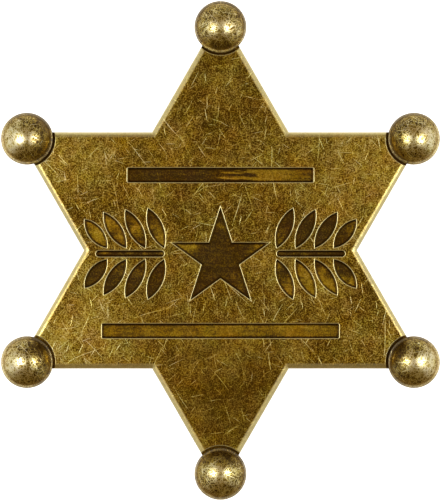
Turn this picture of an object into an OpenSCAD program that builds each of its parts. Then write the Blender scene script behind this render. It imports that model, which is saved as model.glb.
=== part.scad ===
// Six-pointed star badge with ball tips, lying face up.
// The origin is on the surface that the badge lies on, below the star's centre.
// +Z leaves the badge's face and +Y points to its top tip. All sizes are in millimetres.

/* [Star plate] */
// Height of the whole badge, over its top and bottom balls
badge_h = 76.2; // [73:0.1:90]
// Thickness of the plate
plate_t = 2; // [1.8:0.1:4]
// Radius of the rounded edge round the face
edge_round = 0.85; // [0.3:0.05:1.2]
// Radius of the small rounding round the back
back_round = 0.25; // [0.1:0.05:0.4]

/* [Tip balls] */
// Distance from each star tip, were it sharp, back to the ball's centre
ball_inset = 2; // [1:0.1:3]
// Radius of the domed ball
dome_r = 3.57; // [2.6:0.01:4.5]
// Width of the flat rim round the foot of the dome
rim_w = 0.4; // [0.2:0.05:0.8]
// Thickness of the rim
rim_t = 0.65; // [0.4:0.05:1]
// Depth of the round seat in the plate's face that takes the rim
seat_depth = 0.55; // [0.3:0.05:0.9]
// Width of the open groove between the rim and the plate
groove_w = 0.33; // [0.15:0.01:0.6]
// How far the rim overhangs the round lug that it sits on
lug_inset = 0.15; // [0.05:0.05:0.4]
// Radius of the ball's rivet shank
shank_r = 0.9; // [0.6:0.05:1.3]
// Radius of the rivet's closed head on the back
rivet_head_r = 1.7; // [1.5:0.05:2.2]
// Height of the rivet's closed head
rivet_head_h = 0.55; // [0.3:0.05:0.8]

/* [Engraving] */
// Depth of every engraved recess
recess_depth = 0.45; // [0.2:0.05:0.8]
// Height of both engraved bars
bar_h = 2.2; // [1.2:0.1:3]
// Length of the upper bar
upper_bar_l = 28.4; // [20:0.1:32]
// Length of the lower bar
lower_bar_l = 36.2; // [24:0.1:38]
// Radius of the bars' corners
bar_corner_r = 0.2; // [0.1:0.05:0.5]
// Space between the emblem and the upper bar
upper_bar_gap = 3.7; // [2:0.1:4]
// Space between the emblem and the lower bar
lower_bar_gap = 3.5; // [2:0.1:4]
// Height of the emblem band between the bars
emblem_h = 14.4; // [12:0.1:16]
// How far the emblem's middle lies below the star's centre
emblem_drop = 0.5; // [0:0.1:1]
// Radius of the small five-pointed star in the middle of the emblem
small_star_r = 7.8; // [6:0.1:7.9]
// Width of the stem of each leaf spray
stem_w = 0.9; // [0.6:0.1:1.2]
// Land left between the stem's end and the sharp corner of the star's notch
notch_land = 1.85; // [1.5:0.05:3]
// Space between the small star's side point and the stem
stem_gap = 1.2; // [0.8:0.1:1.6]
// Greatest width of a leaf
leaf_w = 2.15; // [1.4:0.05:2.3]
// Land left between a leaf's foot and the stem
leaf_land = 0.45; // [0.3:0.05:0.8]

/* [Brooch pin] */
// Height of the pin's line above the star's centre
pin_y = 9; // [6:0.5:12]
// Length of the pin's base strip
strip_l = 31; // [28:0.5:34]
// Width of the base strip
strip_w = 4.2; // [3.6:0.1:5]
// Thickness of the base strip
strip_t = 0.7; // [0.5:0.05:1]
// Radius of the pin's wire
wire_r = 0.4; // [0.3:0.05:0.5]
// Open space between the base strip and the wire, where the cloth goes
cloth_gap = 0.9; // [0.8:0.05:1.4]
// Distance between the hinge barrel and the catch, centre to centre
pin_span = 25; // [22:0.5:26]
// Radius of the hinge barrel
barrel_r = 1; // [0.8:0.05:1.1]
// Wall of the open ring that catches the wire
catch_wall = 0.35; // [0.25:0.05:0.5]
// Length of the catch along the wire
catch_l = 3; // [2:0.1:4]
// Angle left open in the catch's ring, where the wire goes in
catch_opening = 80; // [60:5:110]
// Length of the wire's sharp point beyond the catch
point_l = 2.2; // [1.5:0.1:3]
// Radius left at the end of the wire's point
point_r = 0.05; // [0.03:0.01:0.1]
// Distance between the two pegs that hold the base strip
peg_span = 15; // [12:0.5:18]
// Radius of a peg
peg_r = 0.8; // [0.5:0.05:1]
// Radius of a peg's flattened head
peg_head_r = 1.35; // [1.3:0.05:1.6]
// Height of a peg's flattened head
peg_head_h = 0.35; // [0.2:0.05:0.4]

/* [Clearances] */
// Gap between two pieces that are clamped face to face
face_gap = 0.02; // [0.01:0.01:0.05]
// Gap all round a shank or peg in its hole
hole_gap = 0.05; // [0.03:0.01:0.1]
// Gap between the wire and the catch's ring
catch_gap = 0.05; // [0.03:0.01:0.1]

/* [Hidden] */
$fn = 64;
eps = 0.01;

// The ball's rim, its seat and its place
tip_count = 6;
rim_r = dome_r + rim_w;
tip_radius = badge_h / 2 - rim_r;
seat_r = rim_r + groove_w;
lug_r = rim_r - lug_inset;
rim_round = rim_w * 0.6;

// Distance from the star's centre to each of its six long sides, and to each notch
side_distance = (tip_radius + ball_inset) / 2;
notch_distance = side_distance / cos(30);

// Depths below the plate's back, which set how high the plate lies
wire_depth = face_gap + strip_t + cloth_gap + wire_r;
catch_in_r = wire_r + catch_gap;
catch_out_r = catch_in_r + catch_wall;
pin_depth = wire_depth + catch_out_r;
barrel_depth = pin_depth - barrel_r;

// Heights above the surface
back_z = pin_depth;
face_z = back_z + plate_t;
seat_z = face_z - seat_depth;
wire_z = back_z - wire_depth;

// The emblem and the bars
emblem_y = -emblem_drop;
upper_bar_y = emblem_y + (emblem_h + bar_h) / 2 + upper_bar_gap;
lower_bar_y = emblem_y - (emblem_h + bar_h) / 2 - lower_bar_gap;
star_side_x = small_star_r * cos(18);
star_drop = small_star_r * (1 - cos(36)) / 2;
stem_x = star_side_x + stem_gap;
stem_l = notch_distance - notch_land - stem_x;

// A spray's leaves, from the small star outwards. Each row holds the foot's place as a share
// of the stem's length, the leaf's length as a share of half the emblem's height, and the
// angle that the leaf leaves the stem at.
LEAF_PLACE = 0;
LEAF_LENGTH = 1;
LEAF_ANGLE = 2;
leaves = [
  [0.00, 0.90, 68],
  [0.28, 0.90, 63],
  [0.56, 0.88, 58],
  [0.84, 0.76, 52],
];

// Directions of the sides of the two triangles that cross to make the star
upright_sides = [30, 150, 270];
inverted_sides = [90, 210, 330];

// One long side of the star as a slab: outwards it ends in the edge's own profile, and it
// reaches past the far corners of its triangle.
module edge_profile() {
  reach = 3 * side_distance;
  round_x = side_distance - edge_round;
  back_x = side_distance - back_round;
  translate([-reach, 0]) square([reach + min(round_x, back_x), plate_t]);
  translate([-reach, back_round])
    square([reach + side_distance, plate_t - edge_round - back_round]);
  translate([round_x, plate_t - edge_round]) circle(r = edge_round);
  translate([back_x, back_round]) circle(r = back_round);
}

module side_slab(direction) {
  slab_l = 5 * side_distance;
  rotate([0, 0, direction]) rotate([90, 0, 0])
    linear_extrude(height = slab_l, center = true) edge_profile();
}

module triangle_plate(sides) {
  intersection() {
    side_slab(sides[0]);
    side_slab(sides[1]);
    side_slab(sides[2]);
  }
}

// Places its children at each ball's centre.
module at_tips() {
  for (i = [0 : tip_count - 1]) at_tip(i) children();
}

module at_tip(i) {
  rotate([0, 0, 90 - i * 360 / tip_count]) translate([tip_radius, 0, 0]) children();
}

module rounded_bar(length) {
  w = length / 2 - bar_corner_r;
  h = bar_h / 2 - bar_corner_r;
  square([length, bar_h - 2 * bar_corner_r], center = true);
  square([length - 2 * bar_corner_r, bar_h], center = true);
  for (x = [-w, w], y = [-h, h]) translate([x, y]) circle(r = bar_corner_r);
}

function five_star(r) = [
  for (i = [0 : 9]) let (
    point_r = i % 2 == 0 ? r : r * cos(72) / cos(36),
    turn = 90 + i * 36
  ) point_r * [cos(turn), sin(turn)]
];

// A leaf lies along +X from its foot, and both its edges are arcs.
module leaf(length, width) {
  sagitta = width / 2;
  arc_r = (pow(length / 2, 2) + pow(sagitta, 2)) / (2 * sagitta);
  translate([length / 2, 0]) intersection() {
    translate([0, arc_r - sagitta]) circle(r = arc_r);
    translate([0, sagitta - arc_r]) circle(r = arc_r);
  }
}

module stem() {
  r = stem_w / 2;
  translate([r, -r]) square([stem_l - 2 * r, stem_w]);
  for (x = [r, stem_l - r]) translate([x, 0]) circle(r = r);
}

module spray() {
  foot_y = stem_w / 2 + leaf_land;
  translate([stem_x, 0]) {
    stem();
    for (row = leaves, up = [0, 1]) mirror([0, up, 0])
      translate([row[LEAF_PLACE] * stem_l, foot_y]) rotate(row[LEAF_ANGLE])
        leaf(row[LEAF_LENGTH] * emblem_h / 2, leaf_w);
  }
}

module engraving() {
  translate([0, upper_bar_y]) rounded_bar(upper_bar_l);
  translate([0, lower_bar_y]) rounded_bar(lower_bar_l);
  translate([0, emblem_y]) {
    translate([0, -star_drop]) polygon(five_star(small_star_r));
    for (side = [0, 1]) mirror([side, 0, 0]) spray();
  }
}

// A peg stands on the plate's back, goes through the pin's base strip and is flattened over it.
module peg() {
  shoulder_z = -strip_t - 2 * face_gap;
  translate([0, 0, shoulder_z - eps]) cylinder(r = peg_r, h = eps - shoulder_z + eps);
  translate([0, 0, shoulder_z - peg_head_h]) cylinder(r1 = peg_r, r2 = peg_head_r, h = peg_head_h);
}

module at_pegs() {
  for (x = [-peg_span / 2, peg_span / 2]) translate([x, pin_y, back_z]) children();
}

module star_plate() color("darkgoldenrod") {
  difference() {
    union() {
      difference() {
        translate([0, 0, back_z]) {
          triangle_plate(upright_sides);
          triangle_plate(inverted_sides);
        }
        at_tips() translate([0, 0, seat_z]) cylinder(r = seat_r, h = plate_t);
      }
      at_tips() translate([0, 0, back_z]) cylinder(r = lug_r, h = seat_z - back_z);
    }
    at_tips() translate([0, 0, back_z - eps])
      cylinder(r = shank_r + hole_gap, h = plate_t + 2 * eps);
    translate([0, 0, face_z - recess_depth]) linear_extrude(height = plate_t) engraving();
  }
  at_pegs() peg();
}

// A ball is a dome on a flat rim, with a shank through the lug and a closed round head behind it.
module ball_profile() {
  rim_z = seat_z + face_gap;
  dome_z = rim_z + rim_t;
  head_z = back_z - face_gap;
  head_arc_r = (pow(rivet_head_r, 2) + pow(rivet_head_h, 2)) / (2 * rivet_head_h);
  translate([0, dome_z]) intersection() {
    circle(r = dome_r);
    translate([0, -eps]) square(2 * dome_r);
  }
  translate([0, rim_z]) square([rim_r, rim_t - rim_round]);
  translate([0, rim_z]) square([rim_r - rim_round, rim_t]);
  translate([rim_r - rim_round, dome_z - rim_round]) circle(r = rim_round);
  translate([0, head_z - eps]) square([shank_r, rim_z - head_z + 2 * eps]);
  translate([0, head_z]) intersection() {
    translate([0, head_arc_r - rivet_head_h]) circle(r = head_arc_r);
    translate([0, -head_arc_r]) square(head_arc_r);
  }
}

module tip_ball(i) color("goldenrod") at_tip(i) rotate_extrude() ball_profile();

// The brooch pin: a strip with a hinge barrel, a wire and an open ring for the wire's point.
module base_strip() {
  r = strip_w / 2;
  translate([0, 0, -strip_t]) difference() {
    linear_extrude(height = strip_t) {
      square([strip_l - strip_w, strip_w], center = true);
      for (x = [r - strip_l / 2, strip_l / 2 - r]) translate([x, 0]) circle(r = r);
    }
    for (x = [-peg_span / 2, peg_span / 2]) translate([x, 0, -eps])
      cylinder(r = peg_r + hole_gap, h = strip_t + 2 * eps);
  }
}

module hinge_barrel() {
  drop = barrel_depth - face_gap;
  translate([0, 0, -drop]) rotate([90, 0, 0]) cylinder(r = barrel_r, h = strip_w, center = true);
  translate([-barrel_r, -strip_w / 2, -drop]) cube([2 * barrel_r, strip_w, drop]);
}

module catch_ring() {
  drop = wire_depth - face_gap;
  post_h = drop - catch_in_r - catch_wall / 2;
  translate([-catch_l / 2, 0, -drop]) rotate([90, 0, 90])
    rotate([0, 0, 180 + catch_opening / 2]) rotate_extrude(angle = 360 - catch_opening)
      translate([catch_in_r, 0]) square([catch_wall, catch_l]);
  translate([-catch_l / 2, -catch_wall, -post_h]) cube([catch_l, 2 * catch_wall, post_h]);
}

module wire() {
  drop = wire_depth - face_gap;
  shaft_l = pin_span + catch_l / 2;
  translate([0, 0, -drop]) rotate([0, 90, 0]) {
    cylinder(r = wire_r, h = shaft_l);
    translate([0, 0, shaft_l]) cylinder(r1 = wire_r, r2 = point_r, h = point_l);
  }
}

module brooch_pin() color("goldenrod") translate([0, pin_y, back_z - face_gap]) {
  base_strip();
  translate([-pin_span / 2, 0, 0]) {
    hinge_barrel();
    wire();
  }
  translate([pin_span / 2, 0, 0]) catch_ring();
}

star_plate();
for (i = [0 : tip_count - 1])
  tip_ball(i);
brooch_pin();
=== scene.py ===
"""Looks of the six-pointed star badge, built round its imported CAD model.

Every size here is in millimetres, and a mesh is scaled to metres when it is made. The plate,
the balls and the brooch pin take their main sizes from the CAD nodes that they stand for.
"""

import logging
import math
from collections.abc import Callable, Sequence
from dataclasses import dataclass
from enum import Enum
from typing import Any

import bmesh
import bpy
import numpy as np
from mathutils import Matrix, Vector
from mathutils.geometry import delaunay_2d_cdt


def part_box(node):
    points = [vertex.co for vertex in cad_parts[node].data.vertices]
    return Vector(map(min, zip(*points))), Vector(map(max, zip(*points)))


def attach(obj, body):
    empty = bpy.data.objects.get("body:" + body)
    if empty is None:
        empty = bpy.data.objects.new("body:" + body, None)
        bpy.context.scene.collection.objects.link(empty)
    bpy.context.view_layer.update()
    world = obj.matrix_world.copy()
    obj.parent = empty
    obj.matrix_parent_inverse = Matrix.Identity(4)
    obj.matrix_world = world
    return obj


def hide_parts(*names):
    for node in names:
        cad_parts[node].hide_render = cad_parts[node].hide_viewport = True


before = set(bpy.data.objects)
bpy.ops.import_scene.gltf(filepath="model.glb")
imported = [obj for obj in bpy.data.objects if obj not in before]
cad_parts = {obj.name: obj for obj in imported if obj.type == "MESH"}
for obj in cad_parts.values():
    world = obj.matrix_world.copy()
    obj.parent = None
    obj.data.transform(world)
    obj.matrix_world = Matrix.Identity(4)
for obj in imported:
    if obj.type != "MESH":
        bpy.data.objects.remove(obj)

log = logging.getLogger("badge")

MM = 0.001
BODY = "root"
TIP_COUNT = 6
BALL_NODES = tuple(f"tip_ball_{number}" for number in range(1, TIP_COUNT + 1))
SIDE_NORMALS = np.radians(30 + 60 * np.arange(TIP_COUNT))
QUARTER = math.pi / 2
COS_30 = math.cos(math.radians(30))
WHITE = (1.0, 1.0, 1.0, 1.0)
# Decimals of a millimetre to which a plan is rounded, and points are when they are merged.
PLAN_DIGITS = 6
MERGE_DIGITS = 4
# Tells the triangulation to keep what lies inside the loops, and its tolerance.
INSIDE_ONLY = 1
TOLERANCE = 1e-5
# Spacing of the points along the straight parts of the engraving.
OUTLINE_STEP = 0.35
# How dark the metal is on an engraved floor, at its edge, in a ball's seat and on a wall: 1 is the
# floor's patina, and what lies above 1 is painted shadow.
FLOOR_SHADE = 1.0
EDGE_SHADE = 1.45
SEAT_SHADE = 1.5
WALL_SHADE = 1.7


class Finish(Enum):
    """The badge's finishes. Each value is a material slot of the record."""

    PLATE = "plate_brass"
    BALL = "ball_brass"
    PIN = "pin_brass"


class Mark(Enum):
    """Point attributes that tell a material where wear and painted highlight brighten the metal, and
    where patina and painted shade darken it.
    """

    WEAR_AND_SHEEN = "wear_and_sheen"
    PATINA_AND_SHADE = "patina_and_shade"


# Node trees


@dataclass(frozen=True)
class Value:
    """An output socket that takes part in Python arithmetic."""

    graph: "Graph"
    socket: bpy.types.NodeSocket

    def __add__(self, other: "Value | float") -> "Value":
        """Sum of two values."""
        return self.graph.math("ADD", self, other)

    def __radd__(self, other: float) -> "Value":
        """Sum with a number in front."""
        return self.graph.math("ADD", other, self)

    def __sub__(self, other: "Value | float") -> "Value":
        """Difference of two values."""
        return self.graph.math("SUBTRACT", self, other)

    def __rsub__(self, other: float) -> "Value":
        """A number less this value."""
        return self.graph.math("SUBTRACT", other, self)

    def __mul__(self, other: "Value | float") -> "Value":
        """Product of two values."""
        return self.graph.math("MULTIPLY", self, other)

    def __rmul__(self, other: float) -> "Value":
        """Product with a number in front."""
        return self.graph.math("MULTIPLY", other, self)

    def __truediv__(self, other: "Value | float") -> "Value":
        """Quotient of two values."""
        return self.graph.math("DIVIDE", self, other)

    def __pow__(self, other: "Value | float") -> "Value":
        """This value raised to a power."""
        return self.graph.math("POWER", self, other)

    def __abs__(self) -> "Value":
        """This value without its sign."""
        return self.graph.math("ABSOLUTE", self)


Input = Value | float | str | bool | Sequence[float] | bpy.types.ID
Colour = tuple[float, float, float]
Tones = tuple[tuple[float, Colour], ...]
# Where a change begins, and the way over which it is completed.
Span = tuple[float, float]


class Graph:
    """A node tree that is filled by expressions."""

    # The noise at which a hair and a run of thread begin.
    hair: Span = (0.56, 0.2)
    thread_run: Span = (0.47, 1 / 7)
    run_size = 1.6
    # How far a scratch bends, as a share of its length.
    scratch_bend = 0.3
    # How much weaker each finer layer of noise is.
    noise_roughness = 0.6
    # How far apart in x and y two patterns are read whose seeds differ by 1.
    seed_step = (37.3, 51.7)

    def __init__(self, tree: bpy.types.NodeTree) -> None:
        """Takes the tree to fill."""
        self.tree = tree

    @classmethod
    def emptied(cls, owner: bpy.types.Material | bpy.types.World) -> "Graph":
        """Starts on the tree of a material or a world, cleared of its first nodes.

        Args:
            owner: The material or world.

        Returns:
            The graph.
        """
        owner.use_nodes = True
        owner.node_tree.nodes.clear()
        return cls(owner.node_tree)

    @classmethod
    def grower(cls, name: str, inputs: dict[str, str]) -> tuple["Graph", list[Value]]:
        """Starts a Geometry Nodes tree.

        Args:
            name: The tree's name.
            inputs: Name and kind of each input that follows the geometry.

        Returns:
            The graph, and the tree's inputs with the geometry first.
        """
        tree = bpy.data.node_groups.new(name, "GeometryNodeTree")
        for way in ("INPUT", "OUTPUT"):
            tree.interface.new_socket("Geometry", in_out=way, socket_type="NodeSocketGeometry")
        for label, kind in inputs.items():
            tree.interface.new_socket(label, in_out="INPUT", socket_type=f"NodeSocket{kind}")
        graph = cls(tree)
        given = graph.node("NodeGroupInput")
        return graph, [graph.output(given, number) for number in range(len(inputs) + 1)]

    @staticmethod
    def pick(sockets: bpy.types.bpy_prop_collection, key: int | str) -> bpy.types.NodeSocket:
        """Finds a node's socket by its place, or by its name as it shows with the settings."""
        shown = (socket for socket in sockets if socket.enabled and socket.name == key)
        return sockets[key] if isinstance(key, int) else next(shown)

    def node(
        self,
        kind: str,
        settings: dict[str, Any] | None = None,
        inputs: dict[int | str, Input] | None = None,
        output: int | str = 0,
    ) -> Value:
        """Adds one node.

        Args:
            kind: The node's type.
            settings: Properties of the node, set first. "stops" holds a ramp's stops.
            inputs: A value or a link for each input, by place or name.
            output: The output to hand back, by place or name.

        Returns:
            That output.
        """
        node = self.tree.nodes.new(kind)
        for name, setting in (settings or {}).items():
            if name == "stops":
                self.set_stops(node.color_ramp, setting)
            else:
                setattr(node, name, setting)
        for key, value in (inputs or {}).items():
            socket = self.pick(node.inputs, key)
            if isinstance(value, Value):
                self.tree.links.new(value.socket, socket)
            else:
                socket.default_value = value
        if not node.outputs:
            return Value(self, node.inputs[0])
        return Value(self, self.pick(node.outputs, output))

    @staticmethod
    def set_stops(ramp: bpy.types.ColorRamp, stops: Sequence[tuple[float, Sequence[float]]]) -> None:
        """Sets a ramp's stops.

        Args:
            ramp: The ramp, as new.
            stops: Place and colour of each stop, from left to right.
        """
        while len(ramp.elements) < len(stops):
            ramp.elements.new(1.0)
        for element, (place, colour) in zip(ramp.elements, stops):
            element.position = place
            element.color = (*colour, 1.0)

    def output(self, value: Value, number: int = 0) -> Value:
        """Another output of the node that a value comes from."""
        return Value(self, value.socket.node.outputs[number])

    def math(self, operation: str, *values: Input, clamp: bool = False) -> Value:
        """Adds a Math node."""
        settings = {"operation": operation, "use_clamp": clamp}
        return self.node("ShaderNodeMath", settings, dict(enumerate(values)))

    def vector(self, operation: str, *values: Input, output: int = 0) -> Value:
        """Adds a Vector Math node."""
        settings = {"operation": operation}
        return self.node("ShaderNodeVectorMath", settings, dict(enumerate(values)), output)

    def scaled(self, vector: Value, factor: float) -> Value:
        """A vector times a number."""
        return self.node(
            "ShaderNodeVectorMath", {"operation": "SCALE"}, {"Vector": vector, "Scale": factor}
        )

    def here(self) -> Value:
        """Object coordinates in millimetres."""
        return self.scaled(self.node("ShaderNodeTexCoord", output="Object"), 1 / MM)

    def parts(self, vector: Value) -> tuple[Value, Value, Value]:
        """The x, y and z of a vector."""
        first = self.node("ShaderNodeSeparateXYZ", inputs={0: vector})
        return first, self.output(first, 1), self.output(first, 2)

    def combined(self, x: Input = 0.0, y: Input = 0.0, z: Input = 0.0) -> Value:
        """A vector from its x, y and z."""
        return self.node("ShaderNodeCombineXYZ", inputs={0: x, 1: y, 2: z})

    def clamp(self, value: Value) -> Value:
        """A value kept between 0 and 1."""
        return self.math("ADD", value, 0.0, clamp=True)

    def ramp(self, value: Value, start: float, span: float) -> Value:
        """0 up to the start and 1 from a span on. A span below 0 turns it round."""
        return self.clamp((value - start) / span)

    def smaller(self, first: Value, second: Input) -> Value:
        """The smaller of two values."""
        return self.math("MINIMUM", first, second)

    def larger(self, first: Value, second: Input) -> Value:
        """The larger of two values."""
        return self.math("MAXIMUM", first, second)

    def attribute(self, name: str, kind: str = "Fac") -> Value:
        """What the mesh holds at each point: a number, or with "Vector" a vector."""
        return self.node("ShaderNodeAttribute", {"attribute_name": name}, output=kind)

    def mixed(self, share: Value, first: Input, second: Input) -> Value:
        """A colour between two others: the first at a share of 0 and the second at 1."""
        inputs = {"Factor": share, "A": first, "B": second}
        return self.node("ShaderNodeMix", {"data_type": "RGBA"}, inputs, "Result")

    def noise(
        self, place: Value, size: float, detail: float = 2.0, flat: bool = False, output: int = 0
    ) -> Value:
        """Cloudy noise.

        Args:
            place: Where it is read.
            size: Size of its largest clouds.
            detail: How many finer layers it has.
            flat: Whether it varies in x and y alone.
            output: 0 for the number and 1 for the colour.

        Returns:
            A value about 0.5, or three of them.
        """
        return self.node(
            "ShaderNodeTexNoise",
            {"noise_dimensions": "2D" if flat else "3D"},
            {
                "Vector": place,
                "Scale": 1 / size,
                "Detail": detail,
                "Roughness": self.noise_roughness,
            },
            output,
        )

    def cloud(self, place: Value, seed: float, size: float, detail: float) -> Value:
        """Cloudy noise about 0, another one for each seed."""
        return self.noise(self.moved(place, seed), size, detail) - 0.5

    def warped(self, place: Value, size: float, amount: float) -> Value:
        """Bends a place by noise.

        Args:
            place: The place.
            size: Size of the bends.
            amount: How far they reach, each way together.

        Returns:
            The bent place.
        """
        cloud = self.noise(place, size, 1.0, output=1)
        push = self.scaled(self.vector("SUBTRACT", cloud, (0.5, 0.5, 0.5)), amount)
        return self.vector("ADD", place, push)

    def moved(self, place: Value, seed: float) -> Value:
        """A place far from the given one, so that two patterns differ."""
        return self.vector("ADD", place, (*(seed * step for step in self.seed_step), 0.0))

    def streaked(self, place: Value, angle: float, length: float, width: float) -> Value:
        """Noise drawn out one way.

        Args:
            place: Where it is read.
            angle: The way it is drawn out, in degrees from x.
            length: Length of its streaks.
            width: Width of its streaks.

        Returns:
            A value about 0.5.
        """
        turn = (0.0, 0.0, math.radians(angle))
        along = self.node(
            "ShaderNodeMapping",
            {"vector_type": "TEXTURE"},
            {"Vector": place, "Rotation": turn, "Scale": (length, width, 1.0)},
        )
        return self.noise(along, 1.0, 0.0, flat=True)

    def hairs(self, place: Value, angle: float, length: float, width: float, seed: float) -> Value:
        """Dense fine hairs that all lie about one way: 1 along the brightest, 0 between them."""
        return self.ramp(self.streaked(self.moved(place, seed), angle, length, width), *self.hair)

    def threads(
        self, place: Value, angle: float, length: float, width: float, fine: float, seed: float
    ) -> Value:
        """Thin curved threads in broken runs, along the contours of a stretched noise.

        Args:
            place: Where they are read.
            angle: The way they mostly lie, in degrees from x.
            length: Length of their bends.
            width: Spacing of the threads.
            fine: How thin they are.
            seed: Tells one layer from another.

        Returns:
            1 along the middle of a thread and 0 beside it.
        """
        where = self.moved(place, seed)
        off = abs(self.streaked(where, angle, length, width) - 0.5)
        runs = self.noise(where, self.run_size, 1.0, flat=True)
        return self.clamp(1.0 - off * fine) * self.ramp(runs, *self.thread_run)

    def scratches(
        self, place: Value, cell: float, width: float, lean: float, spread: float, seed: float
    ) -> Value:
        """Single curved scratches, one in each cell of a random pattern.

        Args:
            place: Where they are read.
            cell: Size of the cells, which limits a scratch's length.
            width: Half the width of a scratch.
            lean: The way they lie on average, in degrees.
            spread: How far they turn from it, each way together, in degrees.
            seed: Tells one layer from another.

        Returns:
            1 in the middle of the deepest scratches and 0 beside them.
        """
        where = self.moved(place, seed)
        cells = self.node(
            "ShaderNodeTexVoronoi",
            {"voronoi_dimensions": "2D", "feature": "F1"},
            {"Vector": where, "Scale": 1 / cell},
        )
        first, second, third = self.parts(self.output(cells, 1))
        turn = (first - 0.5) * math.radians(spread) + math.radians(-lean)
        offset = self.node(
            "ShaderNodeVectorRotate",
            {"rotation_type": "Z_AXIS"},
            {
                "Vector": self.vector("SUBTRACT", where, self.output(cells, 2)),
                "Center": (0.0, 0.0, 0.0),
                "Angle": turn,
            },
        )
        along, across, _ = self.parts(offset)
        bent = abs(across + along * along * ((second - 0.5) * (self.scratch_bend / cell)))
        # A scratch has faded out half a cell from its middle.
        fade = (along / (cell / 2)) ** 2.0
        return self.clamp(1.0 - bent / width - fade) * third

    def brightest(
        self,
        pattern: Callable[..., Value],
        place: Value,
        layers: Sequence[Sequence[float]],
        seed: float,
    ) -> Value:
        """The largest of several layers of a pattern at each point.

        Args:
            pattern: Draws one layer.
            place: Where the layers are read.
            layers: What the pattern takes for each layer, between the place and the seed.
            seed: The first layer's seed.

        Returns:
            The largest value.
        """
        drawn = [pattern(place, *layer, seed + number) for number, layer in enumerate(layers)]
        found = drawn[0]
        for layer in drawn[1:]:
            found = self.larger(found, layer)
        return found

    def surface(self, inputs: dict[int | str, Input]) -> None:
        """Ends a material's tree with a Principled shader."""
        shader = self.node("ShaderNodeBsdfPrincipled", None, inputs)
        self.node("ShaderNodeOutputMaterial", None, {"Surface": shader})

    def grown_in(self, geometry: Value, material: bpy.types.Material) -> bpy.types.NodeTree:
        """Ends a Geometry Nodes tree.

        Args:
            geometry: What it has made.
            material: The finish of all of it.

        Returns:
            The tree.
        """
        real = self.node("GeometryNodeRealizeInstances", None, {0: geometry})
        settings = {"Geometry": real, "Material": material}
        dressed = self.node("GeometryNodeSetMaterial", None, settings)
        self.node("NodeGroupOutput", None, {0: dressed})
        return self.tree


# Meshes


class Shell:
    """Collects the points and faces of one mesh."""

    def __init__(self) -> None:
        """Starts with nothing in it."""
        self.points: list[np.ndarray] = []
        self.marks: dict[Mark, list[np.ndarray]] = {mark: [] for mark in Mark}
        self.faces: list[Sequence[int]] = []
        self.count = 0

    def add(self, plan: np.ndarray, height: Any, wear_and_sheen: Any = 0.0, patina_and_shade: Any = 0.0) -> np.ndarray:
        """Adds points.

        Args:
            plan: Their x and y, one row each.
            height: Their z, one for all or one each.
            wear_and_sheen: How much wear and painted highlight brighten the metal there.
            patina_and_shade: How shaded and dark the metal is there.

        Returns:
            Their numbers.
        """
        size = len(plan)
        self.points.append(np.column_stack([plan, np.broadcast_to(height, size)]))
        self.marks[Mark.WEAR_AND_SHEEN].append(np.broadcast_to(wear_and_sheen, size))
        self.marks[Mark.PATINA_AND_SHADE].append(np.broadcast_to(patina_and_shade, size))
        self.count += size
        return np.arange(self.count - size, self.count)

    def loft(self, loops: Sequence[np.ndarray]) -> None:
        """Closes the bands between loops that have as many points, in order."""
        for first, second in zip(loops, loops[1:]):
            self.faces += zip(first, np.roll(first, -1), np.roll(second, -1), second)

    def fan(self, loop: np.ndarray, tip: int) -> None:
        """Closes a loop to one point."""
        self.faces += zip(loop, np.roll(loop, -1), [tip] * len(loop))

    def mesh(self, name: str, sharp: float) -> bpy.types.Mesh:
        """Merges what coincides and makes the mesh, in metres.

        Args:
            name: The mesh's name.
            sharp: Angle above which an edge is shaded sharp, in degrees.

        Returns:
            The mesh, with its faces outwards.
        """
        points = np.concatenate(self.points)
        _, kept, merged = np.unique(
            np.round(points, MERGE_DIGITS), axis=0, return_index=True, return_inverse=True
        )
        merged = merged.ravel()
        faces = []
        for face in self.faces:
            corners = list(dict.fromkeys(int(merged[corner]) for corner in face))
            if len(corners) > 2:
                faces.append(corners)
        mesh = bpy.data.meshes.new(name)
        mesh.from_pydata((points[kept] * MM).tolist(), [], faces)
        for mark, values in self.marks.items():
            layer = mesh.attributes.new(mark.value, "FLOAT", "POINT")
            layer.data.foreach_set("value", np.concatenate(values)[kept].astype(np.float32))
        work = bmesh.new()
        work.from_mesh(mesh)
        bmesh.ops.recalc_face_normals(work, faces=work.faces)
        work.to_mesh(mesh)
        work.free()
        mesh.shade_smooth()
        mesh.set_sharp_from_angle(angle=math.radians(sharp))
        return mesh


def linked(name: str, data: bpy.types.ID) -> bpy.types.Object:
    """Makes an object and puts it in the scene.

    Args:
        name: The object's name.
        data: Its mesh, lamp or camera.

    Returns:
        The object.
    """
    item = bpy.data.objects.new(name, data)
    bpy.context.scene.collection.objects.link(item)
    return item


def polar(radius: Any, angle: Any) -> np.ndarray:
    """Points by their distances from the origin and their directions in radians."""
    return np.stack([radius * np.cos(angle), radius * np.sin(angle)], axis=-1)


def ring(radius: float, count: int, centre: Sequence[float] = (0.0, 0.0)) -> np.ndarray:
    """Points round a circle, anticlockwise."""
    return centre + polar(radius, np.linspace(0, 2 * math.pi, count, endpoint=False))


def arc(radius: float, start: float, end: float, steps: int) -> np.ndarray:
    """Points along an arc about the origin, with both its ends. Its angles are in radians."""
    return polar(radius, np.linspace(start, end, steps + 1))


def line(start: Sequence[float], end: Sequence[float], steps: int) -> np.ndarray:
    """Points along a straight line, without its last one."""
    start, end = np.array(start, float), np.array(end, float)
    return start + (end - start) * np.linspace(0, 1, steps, endpoint=False)[:, None]


def turned(points: np.ndarray, angle: float) -> np.ndarray:
    """Points turned about the origin by an angle in radians."""
    cosine, sine = math.cos(angle), math.sin(angle)
    return points @ np.array([[cosine, sine], [-sine, cosine]])


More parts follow.
